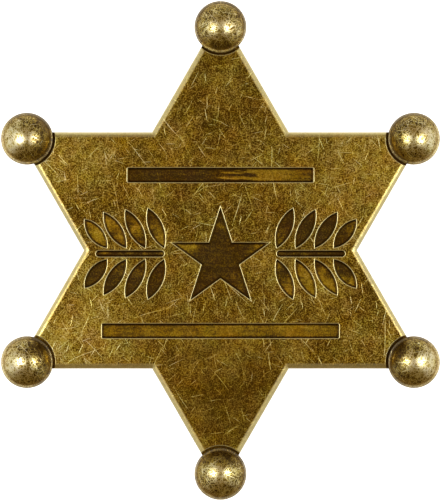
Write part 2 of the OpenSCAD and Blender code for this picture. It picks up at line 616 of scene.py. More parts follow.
def quarter(radius: float, steps: int) -> list[tuple[float, float, float]]:
    """A quarter round that runs from one plane to another.

    Args:
        radius: Its radius.
        steps: How many steps it takes.

    Returns:
        For each point its depth below the first plane, from 0 up, its depth below the second,
        down to 0, and its angle in radians.
    """
    turns = np.linspace(0, QUARTER, steps + 1)
    return [(radius * (1 - math.cos(turn)), radius * (1 - math.sin(turn)), turn) for turn in turns]


def corner_arcs(half_x: float, half_y: float, radius: float, steps: int) -> list[np.ndarray]:
    """The four round corners of a rectangle about the origin, anticlockwise.

    Args:
        half_x: Half the distance between the corners' centres along x.
        half_y: The same along y.
        radius: The corners' radius.
        steps: How many steps each corner takes.

    Returns:
        The points of each corner.
    """
    found = []
    for number, (x, y) in enumerate([(1, 1), (-1, 1), (-1, -1), (1, -1)]):
        start = number * QUARTER
        found.append(arc(radius, start, start + QUARTER, steps) + (x * half_x, y * half_y))
    return found


def inside(points: np.ndarray, loop: np.ndarray) -> np.ndarray:
    """Tells which points lie in a closed loop.

    Args:
        points: Their x and y, one row each.
        loop: The loop's corners.

    Returns:
        One truth value for each point.
    """
    low, high = loop.min(0), loop.max(0)
    found = np.all((points > low) & (points < high), axis=1)
    x, y = points[found].T[:, :, None]
    here, there = loop, np.roll(loop, -1, 0)
    crosses = (here[:, 1] > y) != (there[:, 1] > y)
    rise = there[:, 1] - here[:, 1]
    rise = np.where(rise == 0, 1e-12, rise)
    reach = here[:, 0] + (y - here[:, 1]) * (there[:, 0] - here[:, 0]) / rise
    found[found] = np.sum(crosses & (x < reach), axis=1) % 2 == 1
    return found


def hex_grid(extent: float, step: float) -> np.ndarray:
    """An even spread of points over a square about the origin.

    Args:
        extent: Half the square's side.
        step: Spacing of the points.

    Returns:
        Their x and y, one row each.
    """
    found = []
    for number, y in enumerate(np.arange(-extent, extent, step * COS_30)):
        across = np.arange(-extent, extent, step) + (number % 2) * step / 2
        found.append(np.column_stack([across, np.full(len(across), y)]))
    return np.concatenate(found)


def fill(
    shell: Shell,
    loops: Sequence[np.ndarray],
    lines: Sequence[np.ndarray],
    loose: np.ndarray,
    holes: Sequence[np.ndarray],
    place: Callable[[np.ndarray], dict[str, Any]],
) -> None:
    """Fills the area between closed loops with triangles.

    Args:
        shell: Takes the new points and faces.
        loops: The closed loops, the outline first.
        lines: Open lines that the triangles' sides follow.
        loose: Other points to use.
        holes: The loops that stay open.
        place: Gives the height and marks of points from their x and y.
    """
    edges = []
    count = 0
    for number, chain in enumerate([*loops, *lines]):
        numbers = list(range(count, count + len(chain)))
        edges += zip(numbers, numbers[1:])
        if number < len(loops):
            edges.append((numbers[-1], count))
        count += len(chain)
    plan = np.round(np.concatenate([*loops, *lines, loose]), PLAN_DIGITS)
    found = delaunay_2d_cdt([Vector(point) for point in plan], edges, [], INSIDE_ONLY, TOLERANCE)
    flat = np.array([tuple(point) for point in found[0]])
    faces = np.array(found[2])
    middle = flat[faces].mean(axis=1)
    keep = np.ones(len(faces), bool)
    for hole in holes:
        keep &= ~inside(middle, hole)
    numbers = shell.add(flat, **place(flat))
    shell.faces += [tuple(numbers[face]) for face in faces[keep]]


def away(points: np.ndarray, chains: Sequence[np.ndarray], gap: float) -> np.ndarray:
    """Keeps the points that are clear of some lines.

    Args:
        points: Their x and y, one row each.
        chains: The lines' points.
        gap: The least distance to keep.

    Returns:
        The points that are left.
    """
    near = np.concatenate(chains)
    clear = [np.min(np.sum((near - point) ** 2, axis=1)) > gap * gap for point in points]
    return points[np.array(clear, bool)]


def placed(name: str, mesh: bpy.types.Mesh, nodes: Sequence[str]) -> bpy.types.Object:
    """Puts a finished mesh in the scene as a piece.

    Args:
        name: The piece's name.
        mesh: Its mesh.
        nodes: The CAD nodes that it stands for.

    Returns:
        The piece.
    """
    piece = linked(name, mesh)
    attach(piece, BODY)
    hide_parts(*nodes)
    return piece


def report(piece: bpy.types.Object) -> None:
    """Logs a finished piece."""
    log.info("%s: %d points, %d faces", piece.name, len(piece.data.vertices), len(piece.data.polygons))


# Sizes that the pieces share


@dataclass(frozen=True)
class BadgeSizes:
    """Main sizes of the badge, read from the CAD nodes, and those that its pieces share."""

    tip_radius: float
    rim_r: float
    face_z: float
    back_z: float
    ball_inset: float = 2.0
    seat_depth: float = 0.55
    face_gap: float = 0.02
    pin_y: float = 9.0
    peg_span: float = 15.0
    strip_t: float = 0.7

    @classmethod
    def from_frame(cls) -> "BadgeSizes":
        """Measures the CAD nodes' boxes.

        Returns:
            The badge's sizes.
        """
        ball_low, ball_high = (np.array(corner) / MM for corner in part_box(BALL_NODES[0]))
        pin_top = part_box("brooch_pin")[1].z / MM
        return cls(
            tip_radius=(ball_low[1] + ball_high[1]) / 2,
            rim_r=(ball_high[0] - ball_low[0]) / 2,
            face_z=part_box("star_plate")[1].z / MM,
            back_z=pin_top + cls.face_gap,
        )

    @property
    def side_distance(self) -> float:
        """Distance from the star's centre to each long side."""
        return (self.tip_radius + self.ball_inset) / 2

    @property
    def notch_r(self) -> float:
        """Distance from the star's centre to each notch."""
        return self.side_distance / COS_30

    @property
    def seat_z(self) -> float:
        """Height of the seats that take the balls' rims."""
        return self.face_z - self.seat_depth

    @property
    def tips(self) -> np.ndarray:
        """Direction of each tip, in radians."""
        return np.radians(90 + 60 * np.arange(TIP_COUNT))

    @property
    def ball_centres(self) -> np.ndarray:
        """Where the balls sit."""
        return polar(self.tip_radius, self.tips)

    @property
    def peg_centres(self) -> list[tuple[float, float]]:
        """Where the pegs stand."""
        return [(side * self.peg_span / 2, self.pin_y) for side in (-1, 1)]

    def depth(self, points: np.ndarray) -> np.ndarray:
        """Depth of points inside the star, negative outside it."""
        # The core lies inside all six sides' lines, and each tip inside all but one.
        return np.sort(self.side_distance - points @ polar(1.0, SIDE_NORMALS).T, axis=1)[:, 1]


# The engraved shapes


@dataclass(frozen=True)
class Recess:
    """A closed engraved shape, drawn about its own origin and then put in its place."""

    x: float = 0.0
    y: float = 0.0
    turn: float = 0.0
    flip_x: bool = False
    flip_y: bool = False

    def outline(self, inset: float) -> np.ndarray:
        """The shape's outline about its own origin, anticlockwise.

        Args:
            inset: How far inside the shape's edge it runs. Negative runs outside it.

        Returns:
            Its points, as many at every inset.
        """
        raise NotImplementedError

    def loop(self, inset: float) -> np.ndarray:
        """The outline in its place on the badge.

        Args:
            inset: How far inside the shape's edge it runs.

        Returns:
            Its points, anticlockwise.
        """
        points = turned(self.outline(inset), self.turn) + (self.x, self.y)
        points *= (-1 if self.flip_x else 1, -1 if self.flip_y else 1)
        return points[::-1] if self.flip_x != self.flip_y else points


@dataclass(frozen=True, kw_only=True)
class Bar(Recess):
    """A long bar with small round corners."""

    length: float
    height: float
    corner: float = 0.2
    corner_steps: int = 5

    def outline(self, inset: float) -> np.ndarray:
        """See Recess."""
        half_x, half_y = self.length / 2 - self.corner, self.height / 2 - self.corner
        bends = corner_arcs(half_x, half_y, self.corner - inset, self.corner_steps)
        points = []
        for bend, following in zip(bends, bends[1:] + bends[:1]):
            way = float(np.linalg.norm(following[0] - bend[-1]))
            steps = max(1, round(way / OUTLINE_STEP))
            points += [bend, line(bend[-1], following[0], steps)[1:]]
        return np.concatenate(points)


@dataclass(frozen=True, kw_only=True)
class Leaf(Recess):
    """A leaf between two arcs, with its foot at the origin and its tip along x."""

    length: float
    width: float
    side_steps: int = 22

    def outline(self, inset: float) -> np.ndarray:
        """See Recess."""
        sagitta = self.width / 2
        radius = ((self.length / 2) ** 2 + sagitta**2) / (2 * sagitta)
        lift = radius - sagitta
        half = math.acos(lift / (radius - inset))
        sides = []
        for middle, rise in ((3 * QUARTER, lift), (QUARTER, -lift)):
            side = arc(radius - inset, middle - half, middle + half, self.side_steps)
            sides.append(side[:-1] + (self.length / 2, rise))
        return np.concatenate(sides)


@dataclass(frozen=True, kw_only=True)
class FiveStar(Recess):
    """A five-pointed star, one point up."""

    radius: float

    def outline(self, inset: float) -> np.ndarray:
        """See Recess."""
        side = self.radius * math.cos(math.radians(72))
        notch = side / math.cos(math.radians(36))
        corners = polar(np.array([self.radius, notch] * 5), np.radians(90 + 36 * np.arange(10)))
        steps = math.ceil(np.linalg.norm(corners[1] - corners[0]) / OUTLINE_STEP)
        runs = [line(here, there, steps) for here, there in zip(corners, np.roll(corners, -1, 0))]
        return np.concatenate(runs) * (1 - inset / side)


@dataclass(frozen=True, kw_only=True)
class Stem(Recess):
    """A straight stem with round ends, from the origin along x."""

    length: float
    width: float
    end_steps: int = 10

    def outline(self, inset: float) -> np.ndarray:
        """See Recess."""
        radius = self.width / 2
        near, far = radius, self.length - radius
        below = line((near, 0), (far, 0), math.ceil((far - near) / OUTLINE_STEP))[1:]
        cap = arc(radius - inset, -QUARTER, QUARTER, self.end_steps)
        above = below[::-1] + (0, radius - inset)
        return np.concatenate([below - (0, radius - inset), cap + (far, 0), above, -cap + (near, 0)])


@dataclass(frozen=True)
class Engraving:
    """The bars and the emblem band between them."""

    sizes: BadgeSizes
    bar_h: float = 2.2
    upper_bar_l: float = 28.4
    lower_bar_l: float = 36.2
    upper_gap: float = 3.7
    lower_gap: float = 3.5
    emblem_h: float = 14.4
    emblem_drop: float = 0.5
    star_r: float = 7.8
    stem_w: float = 0.9
    stem_gap: float = 1.2
    notch_land: float = 1.85
    leaf_w: float = 2.15
    leaf_land: float = 0.45
    # Place along the stem, length against half the band's height, and angle in degrees.
    leaves: tuple[tuple[float, float, float], ...] = (
        (0.00, 0.90, 68.0),
        (0.28, 0.90, 63.0),
        (0.56, 0.88, 58.0),
        (0.84, 0.76, 52.0),
    )

    def recesses(self) -> list[Recess]:
        """Lays out the two bars and the emblem.

        Returns:
            Every engraved shape in its place.
        """
        middle = -self.emblem_drop
        reach = (self.emblem_h + self.bar_h) / 2
        star_drop = self.star_r * (1 - math.cos(math.radians(36))) / 2
        stem_x = self.star_r * math.cos(math.radians(18)) + self.stem_gap
        stem_l = self.sizes.notch_r - self.notch_land - stem_x
        foot = self.stem_w / 2 + self.leaf_land
        found: list[Recess] = [
            Bar(y=middle + reach + self.upper_gap, length=self.upper_bar_l, height=self.bar_h),
            Bar(y=middle - reach - self.lower_gap, length=self.lower_bar_l, height=self.bar_h),
            FiveStar(y=middle - star_drop, radius=self.star_r),
        ]
        for flip_x in (False, True):
            found.append(Stem(x=stem_x, y=middle, flip_x=flip_x, length=stem_l, width=self.stem_w))
            for share, reach_share, angle in self.leaves:
                for flip_y in (False, True):
                    rise = -middle if flip_y else middle
                    found.append(
                        Leaf(
                            x=stem_x + share * stem_l,
                            y=rise + foot,
                            turn=math.radians(angle),
                            flip_x=flip_x,
                            flip_y=flip_y,
                            length=reach_share * self.emblem_h / 2,
                            width=self.leaf_w,
                        )
                    )
        return found


# Finishes


@dataclass(frozen=True)
class RubbedSpot:
    """A soft spot where handling has thinned the patina, or where it has stayed thick."""

    x: float
    y: float
    radius: float
    tone: float


@dataclass(frozen=True)
class BarPatina:
    """Amber that comes through on the floors of the bars, and the shade at their ends."""

    # How far a floor's place has to be from the middle, in y, to belong to a bar.
    zone: Span = (8.0, 2.0)
    # Border of the upper bar's amber, how ragged it is, and the share's limits.
    amber: Span = (1.6, 1 / 0.3)
    ragged: float = 22.0
    limits: tuple[float, float] = (-0.9, 0.8)
    lower_amber: float = 0.55
    # Shade at the right ends, which begins sooner on the upper bar, and at the lower left end.
    right_end: Span = (12.0, 1 / 0.18)
    upper_shift: float = 3.5
    right_tone: float = -0.17
    left_end: Span = (-4.0, -2.5)
    left_tone: float = 0.06

    def shares(self, graph: Graph, streaks: Value) -> tuple[Value, Value]:
        """Reads the patina at a point.

        Args:
            graph: The material's nodes.
            streaks: Noise drawn out along the bars, which makes the amber's border ragged.

        Returns:
            Share of amber, and the tone that is added.
        """
        x, y, _ = graph.parts(graph.here())
        start, span = self.amber
        across = graph.larger((x - start + streaks * self.ragged) / span, self.limits[0])
        upper = graph.ramp(y, *self.zone)
        lower = graph.ramp(y * -1.0, *self.zone)
        right = graph.ramp(x + upper * self.upper_shift, *self.right_end) * (upper + lower)
        left = graph.ramp(x, *self.left_end) * lower
        amber = graph.smaller(across, self.limits[1]) * upper + lower * self.lower_amber
        return amber, left * self.left_tone + right * self.right_tone


@dataclass(frozen=True)
class BrassFinish:
    """Antique brass: dark patina in its hollows with painted shadow on their walls, edges brightened
    by wear and a painted highlight, and fine scratches all over.
    """

    name: str
    # Colours from the darkest patina to metal brightened by wear and painted highlight.
    tones: Tones = (
        (0.00, (0.067, 0.033, 0.002)),
        (0.12, (0.120, 0.063, 0.005)),
        (0.22, (0.183, 0.103, 0.010)),
        (0.45, (0.410, 0.273, 0.034)),
        (0.70, (0.710, 0.550, 0.115)),
        (1.00, (0.930, 0.850, 0.380)),
    )
    # The same for the floors of the engraving, where the patina is browner.
    floor_tones: Tones = (
        (0.00, (0.045, 0.022, 0.002)),
        (0.25, (0.072, 0.038, 0.008)),
        (0.45, (0.200, 0.115, 0.008)),
        (0.64, (0.430, 0.260, 0.014)),
        (1.00, (0.750, 0.550, 0.110)),
    )
    # Pale metal that wear and painted highlight show.
    bare_and_sheen_colour: Colour = (0.900, 0.830, 0.460)
    edge_tint: Colour = (1.0, 1.0, 1.0)
    # Size and reach of the bends in hairs, threads and scratches, and the hairs' mean.
    bend_size: float = 7.0
    bend: float = 0.8
    mean_fur: float = 0.35
    # How the largest clouds and the floors' streaks are squeezed in x and y. Below 1 draws out.
    cloud_squeeze: tuple[float, float, float] = (1.6, 1.0, 1.0)
    streak_squeeze: tuple[float, float, float] = (0.22, 2.4, 1.0)
    # Middle tone of the face, and how far each pattern takes it up and down.
    base_tone: float = 0.13
    cloud: float = 0.50
    blotch: float = 0.20
    speckle: float = 0.20
    grit: float = 0.95
    fur: float = 0.36
    thread: float = 0.35
    marks: float = 1.45
    wear_and_sheen_tone: float = 0.45
    # The floors' two tones, what decides between them, and how far each pattern takes them.
    dark_floor: float = 0.26
    amber_floor: float = 0.61
    amber_share: float = 0.2
    amber_calm: float = 1.1
    wide_patch: float = 5.0
    small_patch: float = 3.5
    floor_speckle: float = 0.30
    floor_grit: float = 0.50
    floor_streak: float = 0.35
    floor_marks: float = 0.30
    # How far painted shadow darkens the walls, the seats and the floors' edges.
    painted_shadow_tone: float = 0.50
    bars: BarPatina = BarPatina()
    # How far the red, the green and the blue follow two slow changes of tint.
    hue: float = 1.0
    red_shift: float = 0.20
    green_shift: float = -0.45
    blue_shift: float = -1.20
    ash_shift: float = 2.00
    # Metal stripped of patina where wear shows, which on the lips, edges and the balls' rims is a
    # painted highlight as well.
    rubbed_share: float = 0.9
    rubbed_speckle: float = 0.8
    worn_smooth: float = 0.8
    satin: float = 0.10
    roughness: float = 0.34
    grain_rough: float = 0.14
    tone_smooth: float = 0.10
    smooth_from: float = 0.45
    mark_rough: float = 0.05
    worn_rough: float = 0.10
    # Height of the relief in millimetres, and what each pattern adds to it.
    bump: float = 0.006
    speckle_bump: float = 0.6
    grit_bump: float = 0.4
    fur_bump: float = 0.35
    mark_bump: float = -1.1
    coat: float = 0.0
    floor_coat: float = 0.05
    coat_ior: float = 1.5
    coat_roughness: float = 0.30
    face_z: float = 4.82
    spots: tuple[RubbedSpot, ...] = ()
    calm_spot: RubbedSpot = RubbedSpot(0.0, -22.0, 21.0, 0.36)
    # Angle, length and width of each layer of dense hairs.
    fur_layers: tuple[tuple[float, float, float], ...] = (
        (85.0, 1.7, 0.15),
        (118.0, 1.4, 0.14),
        (52.0, 1.5, 0.15),
        (15.0, 1.3, 0.14),
        (155.0, 1.4, 0.15),
    )
    # Angle, length, spacing and fineness of each layer of broken threads.
    thread_layers: tuple[tuple[float, float, float, float], ...] = (
        (80.0, 5.6, 0.55, 34.0),
        (115.0, 4.8, 0.50, 32.0),
        (50.0, 5.2, 0.60, 36.0),
        (160.0, 4.4, 0.65, 36.0),
    )
    # Cell, half width, lean and spread of each layer of single scratches.
    scratch_layers: tuple[tuple[float, float, float, float], ...] = (
        (1.9, 0.042, 100.0, 220.0),
        (3.0, 0.045, 85.0, 160.0),
        (4.2, 0.048, 65.0, 140.0),
        (6.5, 0.053, 110.0, 150.0),
        (10.0, 0.063, 80.0, 160.0),
    )

    def place(self, graph: Graph) -> Value:
        """Where the patterns are read, in millimetres."""
        return graph.here()

    def unshaded_share(self, graph: Graph) -> Value | float:
        """Share of wear and painted highlight that is left where painted shade falls beside a
        neighbour.
        """
        return 1.0

    def scuffed(self, graph: Graph) -> Value:
        """Share of the fine marks that shows."""
        return 1.0 - self.near(graph, self.calm_spot) * self.calm_spot.tone

    def wear_and_painted_light(self, graph: Graph) -> Value | float:
        """Tone that handling adds where it rubs most, and takes where patina stays; on the balls it is
        painted highlight and shade by place.
        """
        return sum((self.near(graph, spot) * spot.tone for spot in self.spots), 0.0)

    def bar_tones(self, graph: Graph, streaks: Value) -> tuple[Value | float, Value | float]:
        """Share of amber on the floors of the bars, and the tone added there."""
        return self.bars.shares(graph, streaks)

    def near(self, graph: Graph, spot: RubbedSpot) -> Value:
        """1 in the middle of a spot, falling smoothly to 0 at its radius."""
        middle = (spot.x, spot.y, self.face_z)
        distance = graph.vector("DISTANCE", graph.here(), middle, output=1)
        near = graph.clamp(1.0 - distance / spot.radius)
        return near * near * (3.0 - 2.0 * near)

    def floor_tone(self, graph: Graph, place: Value, fine: Value) -> Value:
        """Tone of the floors of the engraving.

        Args:
            graph: The material's nodes.
            place: Where the patterns are read.
            fine: The tone's finest changes.

        Returns:
            The tone.
        """
        along = graph.vector("MULTIPLY", place, self.streak_squeeze)
        streaks = graph.cloud(along, seed=8.0, size=1.0, detail=2.0)
        amber, bar_tone = self.bar_tones(graph, streaks)
        wide = graph.cloud(place, seed=5.0, size=9.0, detail=0.0) * self.wide_patch
        small = graph.cloud(place, seed=6.0, size=2.2, detail=3.0) * self.small_patch
        patches = (wide + small) * graph.clamp(1.0 - abs(amber) * self.amber_calm)
        patches = graph.clamp(patches + self.amber_share + amber)
        tone = self.dark_floor + patches * (self.amber_floor - self.dark_floor)
        return tone + streaks * self.floor_streak + fine + bar_tone

    def tinted(self, graph: Graph, place: Value, colour: Value) -> Value:
        """A colour with slow changes of tint.

        Args:
            graph: The material's nodes.
            place: Where the patterns are read.
            colour: The colour.

        Returns:
            The tinted colour.
        """
        tint = graph.cloud(place, seed=17.0, size=3.4, detail=4.0) * self.hue
        ash = graph.cloud(place, seed=19.0, size=2.5, detail=4.0) * self.hue
        blue = 1.0 + ash * self.ash_shift + tint * self.blue_shift
        shift = graph.combined(1.0 + tint * self.red_shift, 1.0 + tint * self.green_shift, blue)
        return graph.vector("MULTIPLY", colour, shift)

    def material(self) -> bpy.types.Material:
        """Builds the material.

        Returns:
            The material.
        """
        material = bpy.data.materials.new(self.name)
        graph = Graph.emptied(material)
        place = self.place(graph)
        # Wear and painted highlight, less on the balls where painted shade falls towards the plate.
        wear_and_sheen = graph.attribute(Mark.WEAR_AND_SHEEN.value) * self.unshaded_share(graph)
        shade = graph.attribute(Mark.PATINA_AND_SHADE.value)
        patina_and_shade = graph.smaller(shade, 1.0)
        # What lies above 1 is painted shadow on walls, in seats and at the floors' edges.
        painted_shadow = shade - patina_and_shade

        bent = graph.warped(place, self.bend_size, self.bend)
        fur = graph.brightest(graph.hairs, bent, self.fur_layers, seed=1.0)
        lines = graph.brightest(graph.scratches, bent, self.scratch_layers, seed=11.0)
        threads = graph.brightest(graph.threads, bent, self.thread_layers, seed=31.0)

        stretched = graph.vector("MULTIPLY", place, self.cloud_squeeze)
        clouds = graph.cloud(stretched, seed=15.0, size=8.0, detail=1.0)
        blotches = graph.cloud(place, seed=3.0, size=2.0, detail=2.0)
        speckle = graph.cloud(place, seed=0.0, size=0.48, detail=1.0)
        grit = graph.cloud(place, seed=7.0, size=0.20, detail=0.0)
        grain = graph.cloud(place, seed=9.0, size=0.9, detail=2.0)

        rough_share = (1.0 - wear_and_sheen * self.worn_smooth) * self.scuffed(graph)
        fine = speckle * self.speckle + grit * self.grit + (fur - self.mean_fur) * self.fur
        fine = (fine + threads * self.thread + lines * self.marks) * rough_share
        face_tone = self.base_tone + clouds * self.cloud + blotches * self.blotch + fine
        # On the balls the place adds painted highlight and shade to the tone.
        tone = graph.clamp(face_tone + self.wear_and_painted_light(graph) + wear_and_sheen * self.wear_and_sheen_tone)
        fine = speckle * self.floor_speckle + grit * self.floor_grit + lines * self.floor_marks
        floor_tone = self.floor_tone(graph, place, fine - painted_shadow * self.painted_shadow_tone)

        above = graph.node("ShaderNodeValToRGB", {"stops": self.tones}, {"Fac": tone})
        below = graph.node("ShaderNodeValToRGB", {"stops": self.floor_tones}, {"Fac": floor_tone})
        patina = self.tinted(graph, place, graph.mixed(patina_and_shade, above, below))
        # Pale metal where wear and painted highlight are marked.
        bare_and_sheen = graph.clamp(wear_and_sheen * self.rubbed_share * (1.0 + speckle * self.rubbed_speckle))
        roughness = self.roughness + grain * self.grain_rough + lines * self.mark_rough
        roughness = roughness + (self.smooth_from - tone) * self.tone_smooth + wear_and_sheen * self.worn_rough
        carved = (fur * self.fur_bump + lines * self.mark_bump) * (1.0 - patina_and_shade)
        height = (speckle * self.speckle_bump + grit * self.grit_bump + carved) * rough_share
        relief = {"Strength": 1.0, "Distance": self.bump * MM, "Height": height}
        graph.surface(
            {
                "Base Color": graph.mixed(bare_and_sheen, patina, (*self.bare_and_sheen_colour, 1.0)),
                "Metallic": 1.0 - wear_and_sheen * self.satin,
                "Specular Tint": (*self.edge_tint, 1.0),
                "Roughness": graph.clamp(roughness),
                "Normal": graph.node("ShaderNodeBump", None, relief),
                "Coat Weight": graph.clamp(self.coat + patina_and_shade * self.floor_coat - painted_shadow),
                "Coat Roughness": self.coat_roughness,
                "Coat IOR": self.coat_ior,
            }
        )
        return material


@dataclass(frozen=True)
class BallBrass(BrassFinish):
    """The balls' brass, with painted shade towards the plate and painted highlight on the crown and
    the outer side.

    The patterns are read as if each ball's surface lay flat.
    """

    tones: Tones = (
        (0.00, (0.052, 0.027, 0.002)),
        (0.22, (0.138, 0.080, 0.007)),
        (0.40, (0.300, 0.200, 0.022)),
        (0.60, (0.560, 0.430, 0.090)),
        (0.80, (0.800, 0.690, 0.270)),
        (1.00, (0.930, 0.860, 0.540)),
    )
    bare_and_sheen_colour: Colour = (0.62, 0.58, 0.46)
    edge_tint: Colour = (0.85, 0.68, 0.38)
    base_tone: float = 0.20
    blotch: float = 0.50
    speckle: float = 0.45
    grit: float = 0.60
    fur: float = 0.80
    thread: float = 0.85
    marks: float = 2.10
    wear_and_sheen_tone: float = 0.05
    hue: float = 0.4
    rubbed_share: float = 0.5
    satin: float = 0.85
    roughness: float = 0.36
    coat: float = 0.40
    floor_coat: float = 0.0
    coat_roughness: float = 0.36
    tip_radius: float = 34.13
    # How far apart the patterns of two balls that follow each other are read.
    ball_shift: tuple[float, float] = (23.0, 11.0)
    # Share of wear and painted highlight that painted shade takes away towards the plate, and the way
    # in towards the plate over which it does.
    plate_shade: float = 0.7
    plate_shade_reach: Span = (1.2, 1.25)
    least_scuffed: float = 0.45
    # Distance in x from the middle that tells the four balls at the sides.
    side_balls: Span = (20.0, 2.0)
    # Parts of a dome, by the distance from the crown along the surface.
    crown: Span = (2.7, -2.7)
    brink: Span = (3.0, 1.0)
    # Parts of a ball at a side, by the distance in x from its middle.
    outer: Span = (0.04, 3.0)
    inner: Span = (-0.36, -1.8)
    innermost: Span = (-2.86, -0.7)
    # Part of the top and bottom balls, by the distance in x from their middle.
    flank: Span = (1.8, 1.5)
    # Parts of any ball, by the distance in y from its middle.
    cap: Span = (1.0, 0.9)
    low: Span = (-0.4, -1.5)
    # Painted highlight and shade that each part adds to the tone: light on the crown and the outer
    # side, dark on the inner side, towards the foot on the outer side, on the flanks of the top and
    # bottom balls and on each ball's upper part, and light on its lower part.
    crown_tone: float = 0.40
    brink_tone: float = -0.25
    outer_tone: float = 0.50
    inner_tone: float = -0.22
    innermost_share: float = -0.35
    flank_tone: float = -0.13
    cap_tone: float = -0.14
    low_tone: float = 0.08

    def place(self, graph: Graph) -> Value:
        """See BrassFinish."""
        disc = graph.attribute("disc", "Vector")
        number = graph.attribute("ball")
        across, up = self.ball_shift
        return graph.vector("ADD", disc, graph.combined(number * across, number * up))

    def unshaded_share(self, graph: Graph) -> Value:
        """Less towards the plate, where painted shade falls."""
        x, y, _ = graph.parts(graph.here())
        inward = self.tip_radius - graph.math("SQRT", x * x + y * y)
        return 1.0 - self.plate_shade * graph.ramp(inward, *self.plate_shade_reach)

    def scuffed(self, graph: Graph) -> Value:
        """See BrassFinish."""
        return self.least_scuffed + (1.0 - self.least_scuffed) * self.unshaded_share(graph)

    def wear_and_painted_light(self, graph: Graph) -> Value:
        """Painted highlight and shade by place on each ball, which stand in for its reflections."""
        x, y, _ = graph.parts(graph.here())
        reach = abs(x)
        beside = graph.ramp(reach, *self.side_balls)
        past = reach - self.tip_radius * COS_30
        outer = graph.ramp(past, *self.outer)
        inner = graph.ramp(past, *self.inner)
        inner = inner * (1.0 + self.innermost_share * graph.ramp(past, *self.innermost))
        run = graph.vector("LENGTH", graph.attribute("disc", "Vector"), output=1)
        brink = graph.ramp(run, *self.brink) * graph.clamp(outer * 2.0)
        above = y - graph.math("SIGN", y) * self.tip_radius * (1.0 - beside * 0.5)
        sides = outer * self.outer_tone + inner * self.inner_tone + brink * self.brink_tone
        ends = graph.ramp(reach, *self.flank) * (1.0 - beside) * self.flank_tone
        found = graph.ramp(run, *self.crown) * self.crown_tone + sides * beside + ends
        cap = graph.ramp(above, *self.cap) * self.cap_tone
        return found + cap + graph.ramp(above, *self.low) * self.low_tone

    def bar_tones(self, graph: Graph, streaks: Value) -> tuple[float, float]:
        """See BrassFinish."""
        return 0.0, 0.0


@dataclass(frozen=True)
class FloorFinish:
    """A plain pale table top that stays pale where the lamps don't reach."""

    name: str = "pale_floor"
    colour: Colour = (0.86, 0.86, 0.86)
    grain_colour: Colour = (0.90, 0.90, 0.90)
    grain_size: float = 0.8
    roughness: float = 0.8
    glow: float = 1.0

    def material(self) -> bpy.types.Material:
        """Builds the material.

        Returns:
            The material.
        """
        material = bpy.data.materials.new(self.name)
        graph = Graph.emptied(material)
        grain = graph.noise(graph.here(), self.grain_size, 2.0)
        graph.surface(
            {
                "Base Color": graph.mixed(grain, (*self.colour, 1.0), (*self.grain_colour, 1.0)),
                "Roughness": self.roughness,
                "Emission Color": WHITE,
                "Emission Strength": self.glow,
            }
        )
        return material


# Sub-assemblies


